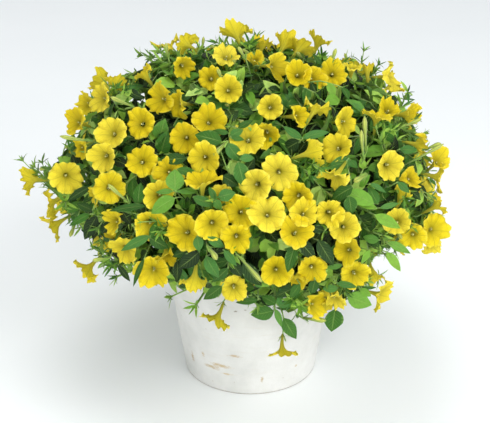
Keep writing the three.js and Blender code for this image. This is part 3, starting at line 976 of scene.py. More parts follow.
def pistil(piece, stand, face, draws):
    """Stigma on its style, with pollen sacs round it, just inside the throat."""
    lean = draws.uniform(-1.0, 1.0, 2)
    tip = np.array((lean[0], lean[1], draws.uniform(-6.0, -4.0)))
    base = np.array((0, 0, -25.0))
    path = np.array([base, 0.5 * (base + tip), tip]) @ stand + face
    tube(piece, path, (0.5, 0.45, 0.5), 4, 0.8, STALK)
    lump(piece, tip @ stand + face, (1.15, 1.15, 0.9), stand, WAX)
    for i in range(4):
        turn = TURN * (i + draws.uniform(0.1, 0.5)) / 4
        place = np.array((1.5 * math.cos(turn), 1.5 * math.sin(turn), draws.uniform(-10, -8)))
        lump(piece, place @ stand + face, (0.7, 0.7, 1.0), stand, WAX, sides=5)


def upright(out, roll):
    """A flower's axes as rows, with its face to out, turned by roll round it."""
    side = unit(np.cross(PICTURE_UP if abs(out @ PICTURE_UP) < 0.9 else PICTURE_RIGHT, out))
    other = np.cross(out, side)
    return np.array((
        side * math.cos(roll) + other * math.sin(roll),
        other * math.cos(roll) - side * math.sin(roll),
        out,
    ))


BLOOMS = []  # every flower's face: its centre, its heading and its radius
SEEN_DISCS = []  # what has to stay in sight: its column, row, depth and radius in the picture


def keep_in_sight(place, radius):
    """Leaves and twigs that are added later stay off the picture round this place."""
    SEEN_DISCS.append((*map(float, in_picture(place)), radius))


def flower(name, face, out, stalk, draws, nodes=(), seen=True, **looks):
    """One flower on its stalk, as one piece. stalk is the curve that carries it."""
    piece = Piece(FLOWER_FINISHES, room=(0.0, 0.0, 1.0, 0.36))
    stand = upright(out, draws.uniform(0, TURN))
    looks = dict(
        across=draws.uniform(45, 52), tint=draws.uniform(0.15, 1.0), cup=draws.uniform(0.0, 0.42),
        curl=draws.uniform(0.0, 0.2), frill=draws.uniform(0.7, 2.0),
        fold=draws.choice((0, draws.uniform(-0.7, 0.4))),
    ) | looks
    corolla(piece, stand, face, draws, **looks)
    calyx(piece, stand, face - out * (TUBE_LENGTH - 0.8), draws, (GREEN, UNDER))
    pistil(piece, stand, face, draws)
    branch(piece, stalk, 7, (1.0, 1.15), 5, (0.55, 0.8), STALK)
    radius = looks["across"] / 2
    BLOOMS.append((*face, *out, radius))
    if seen:
        # the face, of which more shows the more it is turned to the viewer, and the tube behind it
        keep_in_sight(face, radius * (0.3 + 0.55 * abs(out @ TO_VIEWER)) / NEAR_UNIT)
        keep_in_sight(face - out * 12, 7 / NEAR_UNIT)
    return piece.made(name, "petunia_petal", *nodes)


# Buds


def bud(piece, foot, out, length, draws, girth=1.0):
    """A closed flower: a slim pleated spindle in its calyx."""
    stand = upright(out, draws.uniform(0, TURN))
    shares = np.array((0, 0.12, 0.3, 0.5, 0.68, 0.82, 0.92, 1.0))
    radii = np.array((1.5, 1.4, 1.5, 2.0, 2.7, 2.8, 2.0, 0.6)) * draws.uniform(0.85, 1.15) * girth
    bow = draws.uniform(-0.12, 0.12, 2) * length
    path = [foot + np.array((*(bow * s * s), s * length)) @ stand for s in shares]
    tube(piece, path, radii, 10, 0.5, BUD_FINISH, pleats=0.09)
    calyx(piece, stand, foot, draws, LEAF_SKINS, size=min(13.0, 0.55 * length), spread=0.45)


# Pot


def uneven(angle, height):
    """How far the hand-finished wall stands out of true, in mm."""
    return (
        0.35 * np.sin(2 * angle + 0.7 + 0.011 * height)
        + 0.22 * np.sin(5 * angle + 0.05 * height)
        + 0.16 * np.sin(0.19 * height + 3 * angle)
        + 0.1 * np.sin(9 * angle - 0.11 * height)
    )


def pot():
    """Tapered pot, thrown and brushed with lime wash, with four drainage holes."""
    angle = np.arange(POT_SIDES) * TURN / POT_SIDES
    # the rounding of the foot and the lip: inset from the wall and distance from the edge
    rounding = [(1.6, 0.0), (0.75, 0.25), (0.2, 0.8), (0.0, 1.8)]
    bed = wall_radius(FLOOR) - WALL
    profile = [
        (PLATE_RADIUS, 0),
        *((wall_radius(z) - inset, z) for inset, z in rounding),
        *((wall_radius(z), z) for z in np.linspace(6, POT_HEIGHT - 6, 34)),
        *((wall_radius(POT_HEIGHT - z) - inset, POT_HEIGHT - z)
          for inset, z in reversed(rounding)),
        *((wall_radius(POT_HEIGHT) - WALL + inset, POT_HEIGHT - z) for inset, z in rounding),
        *((wall_radius(z) - WALL, z) for z in np.linspace(POT_HEIGHT - 6, FLOOR + 4, 14)),
        (bed - 1.0, FLOOR + 0.8), (bed - 4, FLOOR), (PLATE_RADIUS, FLOOR),
    ]
    points = np.concatenate([
        circle(angle, radius + uneven(angle, height) * min(1, height / 8), height)
        for radius, height in profile
    ]).tolist()
    faces = grid_faces(len(profile), POT_SIDES, closed=True).tolist()
    # the floor inside the profile's ends is laid between rings round the holes
    inner, plate = drained_floor(angle)
    starts = []
    for level, edge in ((0.0, 0), (float(FLOOR), (len(profile) - 1) * POT_SIDES)):
        start = len(points)
        starts.append(start)
        points += [(x, y, level) for x, y in inner]
        for face in plate:
            corners = [edge + i if i < POT_SIDES else start + i - POT_SIDES for i in face]
            faces.append(corners if level else corners[::-1])
    for hole in range(DRAIN_HOLES):
        for i in range(HOLE_SIDES):
            a, b = hole * HOLE_SIDES + i, hole * HOLE_SIDES + (i + 1) % HOLE_SIDES
            faces.append([starts[0] + b, starts[0] + a, starts[1] + a, starts[1] + b])
    mesh = bpy.data.meshes.new("limewashed_pot")
    mesh.from_pydata([tuple(c * MM for c in p) for p in points], [], faces)
    mesh.polygons.foreach_set("use_smooth", np.ones(len(mesh.polygons), bool))
    mesh.materials.append(material(limewashed_clay))
    mesh.update()
    mesh.set_sharp_from_angle(angle=math.radians(40))
    return plant_piece("limewashed_pot", mesh, "limewashed_clay", "pot")


POT_SIDES = 144
HOLE_SIDES = 24
PLATE_RADIUS = 75  # of the flat disc that holds the drainage holes


def drained_floor(angle):
    """A disc with the drainage holes left open, as points inside its outer ring and the faces that
    join them; indices below POT_SIDES are that ring's own points."""
    inner = []
    for i in range(DRAIN_HOLES):
        turn = TURN * (i + 0.5) / DRAIN_HOLES
        centre = DRAIN_RING * np.array((math.cos(turn), math.sin(turn)))
        inner += [
            tuple(centre + DRAIN_RADIUS * np.array((math.cos(t), math.sin(t))))
            for t in np.arange(HOLE_SIDES) * TURN / HOLE_SIDES
        ]
    outer = [(PLATE_RADIUS * math.cos(a), PLATE_RADIUS * math.sin(a)) for a in angle]
    edges = [(i, (i + 1) % POT_SIDES) for i in range(POT_SIDES)]
    for first in range(POT_SIDES, POT_SIDES + len(inner), HOLE_SIDES):
        edges += [(first + i, first + (i + 1) % HOLE_SIDES) for i in range(HOLE_SIDES)]
    _, _, faces, _, _, _ = delaunay_2d_cdt([Vector(p) for p in outer + inner], edges, [], 0, 1e-6)

    def covers_a_hole(face):
        return min(face) >= POT_SIDES and len({(i - POT_SIDES) // HOLE_SIDES for i in face}) == 1

    return inner, [list(face) for face in faces if not covers_a_hole(face)]


def heap_height(share):
    """How high the compost stands at a share of the way from its middle to the wall."""
    return SOIL_EDGE + (SOIL_MIDDLE - SOIL_EDGE) * (1 - share**2)


def soil():
    """The heap of compost that fills the pot, with loose crumbs and bits of bark on it."""
    sides, draws = 72, chance(41)
    angle = np.arange(sides) * TURN / sides

    def inner(height):
        return wall_radius(height) - WALL - SEAT_GAP

    foot = FLOOR + SEAT_GAP
    edge = inner(SOIL_EDGE)
    profile = [(2, foot), (0.5 * inner(foot), foot), (inner(foot) - 1, foot)]
    profile += [(inner(z), z) for z in np.linspace(foot + 2, SOIL_EDGE - 2, 8)]
    points = [circle(angle, radius, height) for radius, height in profile]
    for share in np.linspace(0.985, 0.22, 14):
        bumps = draws.normal(0, 0.55, sides)
        points.append(circle(angle, edge * share, heap_height(share) + bumps))
    piece = Piece([material(potting_mix)])
    flat = np.concatenate([*points, [(0, 0, foot)], [(0, 0, SOIL_MIDDLE)]])
    spread = flat[:, :2] / (2.3 * RIM_RADIUS) + 0.5
    piece.put(flat, flat * 0, [(faces, spread[faces], 0) for faces in capped(len(points), sides)])
    for _ in range(200):
        turn, reach = draws.uniform(0, TURN), edge * math.sqrt(draws.uniform(0.05, 0.9))
        size = draws.uniform(0.9, 2.6)
        axes = frame_along(draws.normal(size=3), draws.normal(size=3))
        place = (reach * math.cos(turn), reach * math.sin(turn),
                 heap_height(reach / edge) + 0.3 * size)
        lump(piece, place, (size, size, size * draws.uniform(0.4, 1.0)), axes, 0, sides=5)
    return piece.made("compost", "potting_mix", "potting_soil")


def crown():
    """The old woody base that the shoots leave from."""
    sides, draws = 40, chance(43)
    angle = np.arange(sides) * TURN / sides
    heights = np.array((0, 2, 12, 20, 28, 36, 42, 45.5, 47.5))
    radii = np.array((5, 7.7, 15.4, 19.5, 21.6, 20.4, 17.0, 13.2, 6.0))
    points = []
    for height, radius in zip(heights, radii):
        knots = 0.5 * np.sin(5 * angle + 0.08 * height) + 0.35 * np.sin(11 * angle)
        knots = knots + draws.normal(0, 0.12, sides)
        points.append(circle(angle, radius + knots * radius / CROWN_RADIUS, CROWN_FOOT + height))
    flat = np.concatenate([*points, [(0, 0, CROWN_FOOT)], [(0, 0, CROWN_TOP)]])
    quads, low, high = capped(len(heights), sides)
    piece = Piece([material(woody_crown)])
    spread = flat[:, :2] / (3 * CROWN_RADIUS) + 0.5
    spots = ring_spots(np.linspace(0, 1, len(heights)), sides)
    piece.put(flat, flat * 0, [(quads, spots, 0), (low, spread[low], 0), (high, spread[high], 0)])
    return piece.made("woody_crown", "woody_stem", "crown")


# Shoots


class Shoot:
    """A packed shoot: its leader, its two twigs and the twigs and leaves that are added to it."""

    def __init__(self, ring, i):
        step = 360 / ring["count"]
        bearing = ring["first"] + step * i
        radius, height = ring["root"]
        start = direction(bearing, 0) * radius + (0, 0, height)
        end = on_mound(bearing, ring["tip"], ring["reach"])
        over = start + (end - start) * ARCH_AT
        over[2] = ring["arch"]
        self.name = f"shoot_{ring['name']}_{i + 1:02d}"
        self.leader = Curve([start, over, end])
        fork = self.leader.at(FORK_AT)
        bend = self.leader.at(TWIG_BENDS_TO)
        self.twigs = []
        for side in (-1, 1):
            tip = on_mound(bearing + side * TWIG_SPREAD * step, ring["tip"] + TWIG_RISE[side],
                           ring["reach"] - TWIG_SHORTER)
            middle = (fork + tip) / 2
            self.twigs.append(Curve([fork, middle + (bend - middle) * TWIG_BEND, tip]))
        # twigs that carry flowers, then leafy ones, and those of what the photograph shows
        self.added, self.leafy, self.shaded, self.seen, self.buds, self.sprigs = (
            [] for _ in range(6))


def leaf_axes(curve, share, turn, draws, wild):
    """Where a leaf stands on a branch: it leans along the branch and turns its face outwards."""
    share = min(share, 0.985)
    place, tangent = curve.at(share), curve.along(share)
    outward = unit(place - MOUND_CENTRE)
    across = unit(np.cross(tangent, outward))
    side = across * math.cos(turn) + outward * 0.7 * math.sin(turn)
    along = unit(tangent * LEAF_LEAN + side)
    upper = outward + wild * draws.normal(size=3) + (0, 0, 0.35 * wild)
    return place, frame_along(along, upper)


def in_picture(points):
    """The column and row where each point shows in the picture, and its depth in mm."""
    away = points - EYE
    depth = -away @ TO_VIEWER
    scale = VIEW_DISTANCE / depth / PICTURE_UNIT
    column = PICTURE_CENTRE[0] + away @ PICTURE_RIGHT * scale
    return column, PICTURE_CENTRE[1] - away @ PICTURE_UP * scale, depth


def in_outline(points, spare):
    """True if these points lie within the mound's outline as the photograph shows it, or pass it
    by less than spare."""
    column, row, _ = in_picture(points)
    across, up = column - OUTLINE_CENTRE[0], OUTLINE_CENTRE[1] - row
    turn = np.degrees(np.arctan2(up, across)) % 360
    reach = np.interp(turn, np.arange(25) * 15, (*OUTLINE, OUTLINE[0]))
    return np.all(np.hypot(across, up) < reach + spare)


# How far the mound's outline lies from its centre in the picture, every 15 degrees from the right
OUTLINE_CENTRE = (247, 180)
OUTLINE = (
    196, 181, 178, 171, 143, 150, 147, 142, 154, 158, 178, 185,
    208, 180, 160, 142, 124, 118, 124, 140, 160, 172, 152, 198,
)
LEAF_SPARE = -4  # leaves stay this far inside the outline, in the picture's own unit
FLOWER_SPARE = -14  # and the middles of flowers on the unseen sides this far


def is_clear(points):
    """True if these points hide no flower's face, cut no petal and are out of the pot's wall."""
    if not in_outline(points, LEAF_SPARE):
        return False
    column, row, depth = in_picture(points)
    seen = np.array(SEEN_DISCS)
    aside = np.hypot(column[:, None] - seen[:, 0], row[:, None] - seen[:, 1])
    if np.any((aside < seen[:, 3]) & (depth[:, None] < seen[:, 2])):
        return False
    level = np.hypot(points[:, 0], points[:, 1])
    height = points[:, 2]
    over_soil = (height > SOIL_MIDDLE + 4) & (level < RIM_RADIUS - WALL - 8)
    if np.any((height < POT_HEIGHT + 3) & (level < wall_radius(height) + 3) & ~over_soil):
        return False
    blooms = np.array(BLOOMS)
    away = points[:, None] - blooms[:, :3]
    height = (away * blooms[:, 3:6]).sum(-1)
    aside = np.linalg.norm(away - height[..., None] * blooms[:, 3:6], axis=-1)
    hides = (height > -6) & (height < 50) & (aside < 0.9 * blooms[:, 6])
    cuts = (height > -TUBE_LENGTH) & (height <= -6) & (aside < 5)
    return not np.any(hides | cuts)


def branch_leaves(piece, curve, count, first, key, scale=1.0, wild=0.3, **shape):
    """Leaves at the golden angle, smaller towards the branch's tip. One that would stand in a
    flower's way grows on another side of the branch."""
    for i in range(count):
        draws = chance(*key, i)
        last = i == count - 1
        share = first + (1 - first) * i / max(count - 1, 1)
        size = (TIP_LEAF_SHARE if last else 1 - 0.25 * share) * scale * draws.uniform(0.8, 1.15)
        turn = math.radians(12 if last else GOLDEN_ANGLE * i + 40)
        for again in range(6):
            side = turn + math.radians(GOLDEN_ANGLE) * again
            place, axes = leaf_axes(curve, share, side, draws, wild)
            length, width = size * LEAF_LENGTH, size * LEAF_WIDTH
            if is_clear(place + length * LEAF_ENDS @ axes):
                plant_leaf(piece, axes, place, length, width, draws, **shape)
                break


# A leaf's middle, tip and widest places on both sides, as shares of its length
LEAF_ENDS = np.array([(0.5, 0, 0), (1.0, 0, -0.15), (0.6, 0.28, 0), (0.6, -0.28, 0)])


def plant_leaf(piece, axes, place, length, width, draws, shade=None, even=False, **shape):
    """One leaf. Its form and its shade are drawn, and its width varies unless it is even."""
    shape = dict(
        fold=draws.uniform(0.1, 0.42), arch=draws.uniform(0.2, 1.1),
        ruffle=draws.uniform(0.01, 0.05), bend=draws.uniform(-0.1, 0.1),
        widest=draws.uniform(0.38, 0.5),
    ) | shape
    tone = draws.beta(1.0, 1.15) if shade is None else shade
    width *= 1 if even else draws.uniform(0.88, 1.2)
    blade(piece, axes, place, length, width, draws, tone, LEAF_SKINS, **shape)


def tuft(piece, place, ahead, key, count=7, size=1.0):
    """The young leaves at a shoot's tip: small, narrow and upright."""
    draws = chance(*key)
    out = unit(ahead)
    stand = upright(out, draws.uniform(0, TURN))
    for i in range(count):
        lean = 0.35 + 0.9 * i / count + draws.uniform(-0.15, 0.15)
        _, axes = leaning(stand, math.radians(GOLDEN_ANGLE * i), lean)
        length = size * draws.uniform(10, 23)
        start = place - out * (1.2 * (count - i)) * 0.6
        blade(piece, axes, start, length, length * draws.uniform(0.16, 0.3), draws,
              draws.uniform(0.3, 0.85), LEAF_SKINS, rows=4, columns=2, fold=0.3,
              arch=draws.uniform(-0.2, 0.9), ruffle=0.0, widest=0.45, thickness=0.4)


# Packed flowers 1 to 24: column and row of the face's centre in the picture, then the degrees it
# is turned to the right and upwards, and for the last ones how far forward of the axis they hang
PACKED_IN_FRONT = [
    (234, 33, -130, 58), (184, 44, -120, 28), (301, 46, 120, 50), (228, 90, 0, 0),
    (391, 77, 80, 0), (101, 98, -50, 0), (270, 107, 0, 0), (346, 121, 38, 0),
    (66, 176, 10, -12), (30, 181, -105, 0), (279, 172, 0, 0), (389, 166, 18, -15),
    (440, 178, 80, -15), (184, 232, -30, 0), (54, 226, -90, -33), (344, 227, 0, 0),
    (434, 230, 25, -10), (123, 250, -30, -40), (276, 270, 0, -5), (234, 289, 0, -25),
    (382, 296, 65, -15), (215, 320, -100, -65, 190), (283, 354, 0, -88, 185), (87, 270, -85, -45),
]
# Packed flowers 25 to 36, in rings round the sides and the back
PACKED_BEHIND = [
    dict(count=5, start=10, step=40, height=-14),
    dict(count=4, start=30, step=40, height=20),
    dict(count=3, start=40, step=55, height=52),
]
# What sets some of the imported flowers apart
PACKED_LOOKS = {
    1: dict(across=46, tint=0.7), 2: dict(across=40, tint=0.75), 4: dict(across=47, tint=0.75),
    7: dict(across=42), 9: dict(across=52, tint=0.85), 10: dict(fold=0.0),
    11: dict(across=53, tint=0.95, cup=0.02), 12: dict(across=50, tint=0.9), 14: dict(across=50),
    16: dict(across=49, tint=0.9), 17: dict(across=54), 20: dict(across=42),
    21: dict(across=52, cup=0.1, curl=0.05, fold=0.0, tint=0.8),
    22: dict(across=48, cup=0.06, curl=0.0, fold=0.0, frill=0.8),
    23: dict(across=46, cup=0.0, curl=0.0, frill=0.5), 24: dict(cup=0.25, fold=0.0),
}
# More flowers that the photograph shows: column, row, width across in mm, degrees turned to the
# right and upwards, and how far they stand in front of the mound's surface in mm
SEEN_FLOWERS = [
    (227, 55, 41, 8, 25, 4), (210, 78, 38, 0, 8, -8), (184, 67, 40, 10, -10, 0),
    (209, 121, 49, 0, 0, 5), (185, 138, 50, -5, -4, 4), (204, 158, 48, -10, -20, 2),
    (140, 123, 46, -20, 15, 4), (160, 99, 48, -44, 0, 6), (177, 103, 42, -45, -10, 0),
    (116, 83, 38, -30, 120, 0), (86, 103, 40, -50, 0, -12), (76, 122, 48, -48, 0, 4),
    (112, 133, 50, -20, 0, 8), (104, 157, 46, -15, -15, 0), (141, 161, 48, -10, 20, 3),
    (109, 188, 47, 0, 5, 4), (49, 204, 44, -90, -30, 0), (168, 171, 42, -10, 0, -4),
    (159, 195, 46, -5, 0, -2), (203, 181, 52, 0, 58, 8), (143, 73, 32, -70, 60, 0),
    (275, 67, 48, 38, 0, 4), (298, 74, 45, 5, 10, 5), (313, 79, 38, 25, 0, -6),
    (333, 73, 43, 5, 10, 2), (285, 43, 44, 120, 40, 0), (316, 107, 40, 100, 55, 4),
    (299, 116, 36, 50, 0, -2), (337, 147, 47, 0, 20, 0), (376, 115, 46, 0, 82, 6),
    (389, 109, 38, 30, 10, -10), (367, 67, 26, 30, 100, -4), (409, 115, 42, 70, 0, 0),
    (248, 138, 50, 0, 25, 6), (267, 134, 40, 0, -20, -4), (312, 153, 45, 90, 27, 8),
    (334, 178, 40, -60, -50, 4), (412, 178, 34, 40, 0, -4), (256, 185, 48, 0, 0, 0),
    (298, 197, 46, 0, -10, -2), (304, 213, 44, 0, 0, 6), (330, 213, 41, 0, 0, 2),
    (267, 213, 50, 0, 12, 8), (241, 212, 50, 0, 0, 0), (438, 160, 42, 40, 40, 0),
    (422, 146, 38, 88, 0, 0), (402, 194, 30, 60, 60, -10), (153, 272, 50, 0, -35, 6),
    (150, 224, 46, 0, -20, 2), (114, 222, 40, -60, 0, 0), (212, 224, 47, 0, 5, 8),
    (237, 238, 44, -10, -15, 6), (194, 281, 42, -120, -60, 4), (296, 231, 49, 0, 13, 14),
    (348, 250, 47, 0, 0, 10), (312, 270, 44, 0, -35, 4), (355, 275, 45, 0, -30, 4),
    (315, 305, 42, 60, -5, 0), (334, 301, 34, 0, -40, 0), (413, 236, 40, 10, -20, 4),
    (397, 222, 42, 0, 0, -4), (439, 204, 36, 60, 30, -8), (432, 247, 34, 40, -40, -6),
    (374, 277, 30, 30, -60, -6), (262, 42, 30, 40, 80, -10), (254, 58, 30, 0, 60, -14),
    (352, 66, 30, 20, 60, -10), (80, 149, 34, -40, -40, -10), (94, 196, 32, -60, -20, -10),
    (166, 258, 32, 0, -50, -8), (299, 278, 32, 10, -50, -8), (222, 197, 36, 0, 10, -12),
]
FULL_BLOOM = 1.04  # how much wider the flowers are than they look, as their edges roll back
SET_BACK = 5  # how much further back the seen flowers and shoot tips stand than their lists say
SHORTEST_TWIG = 12
FIRST_ADDED = 37  # the number of the first flower that isn't packed
# Flowers on the unseen sides: how far apart they are, how many places are tried for them, how
# many degrees below the middle they end, and the least share of the way out
FLOWER_SPACING = 49
UNSEEN_PLACES = 420
LOWEST_UNSEEN = -34
DEEPEST_UNSEEN = 0.6


def packed_faces():
    for column, row, right, up, *forward in PACKED_IN_FRONT:
        yield in_view(column, row, *forward), facing(right, up)
    for ring in PACKED_BEHIND:
        for i in range(ring["count"]):
            bearing = ring["start"] + ring["step"] * i
            yield on_mound(bearing, ring["height"], 1), direction(bearing, ring["height"] + 8)


def branch_points(shoots):
    """Where a stalk or a twig can start: place, shoot, curve and share of the curve."""
    for shoot in shoots:
        for i in range(13, 24):
            yield shoot.leader.at(i / 24), shoot, shoot.leader, i / 24
        for twig in shoot.twigs:
            for i in range(2, 12):
                yield twig.at(i / 12), shoot, twig, i / 12


def stalk_to(start, foot, out):
    """A stalk that bends at its knee and then runs along the flower's axis."""
    knee = foot - out * STALK_KNEE * np.linalg.norm(foot - start)
    return Curve([start, knee, foot + out * 1.5])


def grow_packed_flowers(shoots):
    points = [start[0] for start in branch_points(shoots)]
    taken, faces = [], []
    for i, (face, out) in enumerate(packed_faces()):
        foot = face - out * TUBE_LENGTH
        free = [p for p in points if all(np.linalg.norm(p - t) > STALK_SPACING for t in taken)]
        start = min(free, key=lambda p: np.linalg.norm(p - foot))
        taken.append(start)
        flower(f"petunia_{i + 1:02d}", face, out, stalk_to(start, foot, out), chance(1, i),
               (f"flower_{i + 1:02d}",), seen=i < len(PACKED_IN_FRONT),
               **PACKED_LOOKS.get(i + 1, {}))
        faces.append(face)
    return faces


def unseen_faces(faces):
    """Places for flowers all over the rest of the mound, an even distance apart."""
    found = list(faces)
    for i in range(UNSEEN_PLACES):
        draws = chance(3, i)
        rise = math.degrees(math.asin(1 - 2 * (i + 0.5) / UNSEEN_PLACES))
        bearing = (GOLDEN_ANGLE * i) % 360
        if rise < LOWEST_UNSEEN:
            continue
        share = draws.uniform(0.94, 1.0)
        while share > DEEPEST_UNSEEN and not in_outline(
                on_mound(bearing, rise, share)[None], FLOWER_SPARE):
            share -= 0.03
        place = on_mound(bearing, rise, share)
        outward = mound_outward(place)
        if share <= DEEPEST_UNSEEN or outward @ unit(EYE - place) > 0.1:
            continue
        if min(np.linalg.norm(place - other) for other in found) < FLOWER_SPACING:
            continue
        found.append(place)
        yield place, unit(outward + 0.4 * draws.normal(size=3) + (0, 0, 0.1))


def carry(face, out, branches, key):
    """The stalk of a flower that isn't packed, from the end of a twig that is added for it."""
    draws = chance(*key)
    foot = face - out * TUBE_LENGTH
    outward = mound_outward(foot)
    node = foot - out * draws.uniform(8, 14) - outward * draws.uniform(12, 22)
    from_inside = node - outward * 26
    shoot, twig = branches.twig_to(node, from_inside, draws, bow=0.16, wander=0.05)
    if np.linalg.norm(node - twig.points[0]) < SHORTEST_TWIG:
        node = twig.points[0]
    else:
        shoot.added.append(twig)
    return stalk_to(node, foot, out)


def grow_other_flowers(branches, faces):
    """The flowers that aren't packed: first those that the photograph shows, then the rest."""
    places = []
    for i, (column, row, across, right, up, lift) in enumerate(SEEN_FLOWERS):
        sway = chance(6, i).normal(0, 8, 2)
        out = facing(right + sway[0], up + sway[1])
        face = in_view(column, row, lift=lift - SET_BACK)
        places.append((face, out, dict(across=across * FULL_BLOOM)))
    places += [(face, out, dict(lobes=6, seen=False)) for face, out in unseen_faces(faces)]
    for i, (face, out, looks) in enumerate(places):
        stalk = carry(face, out, branches, (2, i))
        flower(f"petunia_{i + FIRST_ADDED:03d}", face, out, stalk, chance(4, i), **looks)


class Branches:
    """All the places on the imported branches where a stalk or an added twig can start."""

    def __init__(self, shoots):
        self.starts = list(branch_points(shoots))
        self.places = np.array([start[0] for start in self.starts])

    def twig_to(self, node, wanted, draws, bow=0.2, wander=0.06, outwards=False):
        """The shoot that is nearest to wanted, and a new twig's curve from it to node, which
        grows outwards at its end if that is asked for."""
        nearest = np.argmin(np.linalg.norm(self.places - wanted, axis=1))
        place, shoot, curve, share = self.starts[nearest]
        reach = np.linalg.norm(node - place)
        if outwards:
            middle = node - 0.6 * reach * unit(mound_outward(node) + 0.5 * TO_VIEWER)
        else:
            middle = (place + node) / 2 + curve.along(share) * bow * reach
        return shoot, Curve([place, middle + draws.normal(0, wander * reach, 3), node])


def grow_leafy_twigs(branches):
    """Leafy twigs without flowers: they fill the mound's shell, an even distance apart, and more
    of them, with bigger leaves, stand in its shade."""
    for i in range(LEAFY_TWIGS + SHADED_TWIGS):
        draws = chance(5, i)
        shaded = i >= LEAFY_TWIGS
        first, count = (LEAFY_TWIGS, SHADED_TWIGS) if shaded else (0, LEAFY_TWIGS)
        level = (i - first + 0.5) / count
        bearing = (GOLDEN_ANGLE * i) % 360
        fringe = FRINGE + FRINGE_IN_FRONT * max(0, math.cos(math.radians(bearing + 80))) ** 2
        rise = math.degrees(math.asin(1 - (1 + math.sin(math.radians(fringe))) * level))
        share = draws.uniform(*(SHADED_SHELL if shaded else LEAFY_SHELL))
        while share > DEEPEST_TIP and not is_clear(on_mound(bearing, rise, share)[None]):
            share -= 0.05
        node = on_mound(bearing, rise, share)
        shoot, curve = branches.twig_to(node, node - mound_outward(node) * 30 + (0, 0, 12), draws)
        (shoot.shaded if shaded else shoot.leafy).append((curve, i))


def grow_seen_leaves(branches):
    """The leaves that the photograph shows best, each on a twig of its own."""
    for i, (column, row, tip_column, tip_row, width, shade) in enumerate(SEEN_LEAVES):
        draws = chance(7, i)
        foot = in_view(column, row, lift=SHADED_LIFT if shade < SHADED_BELOW else LEAF_LIFT)
        tip = beside(foot, tip_column, tip_row) + TO_VIEWER * draws.uniform(-5, 3)
        upper = TO_VIEWER + 0.3 * mound_outward(foot) + 0.22 * draws.normal(size=3)
        axes = frame_along(tip - foot, upper)
        from_inside = foot - mound_outward(foot) * 32
        shoot, curve = branches.twig_to(foot, from_inside, draws, outwards=True)
        length = np.linalg.norm(tip - foot)
        wide = width * (EYE - foot) @ TO_VIEWER / VIEW_DISTANCE * PICTURE_UNIT
        shoot.seen.append(
            (curve, axes, foot, length * LONGER, wide * WIDER, SHADE_SHARE * shade, i))
        keep_in_sight(foot + 0.55 * (tip - foot), 0.3 * length / PICTURE_UNIT)


def grow_buds(branches):
    """The closed flowers that the photograph shows, each on a twig of its own."""
    for i, (column, row, tip_column, tip_row, girth) in enumerate(SEEN_BUDS):
        draws = chance(8, i)
        foot = in_view(column, row, lift=BUD_LIFT)
        tip = beside(foot, tip_column, tip_row) + mound_outward(foot) * 5
        from_inside = foot - mound_outward(foot) * 32
        shoot, curve = branches.twig_to(foot, from_inside, draws, outwards=True)
        shoot.buds.append((curve, foot, tip, girth, i))
        keep_in_sight((foot + tip) / 2, 6.0)


def grow_sprigs(branches):
    """Shoot tips with narrow young leaves that stand out of the mound in the photograph."""
    for i, (column, row, forward) in enumerate(SEEN_SPRIGS):
        draws = chance(9, i)
        tip = in_view(column, row, lift=forward - SET_BACK)
        shoot, curve = branches.twig_to(tip, tip - mound_outward(tip) * 45, draws, bow=0.1)
        shoot.sprigs.append((curve, i))
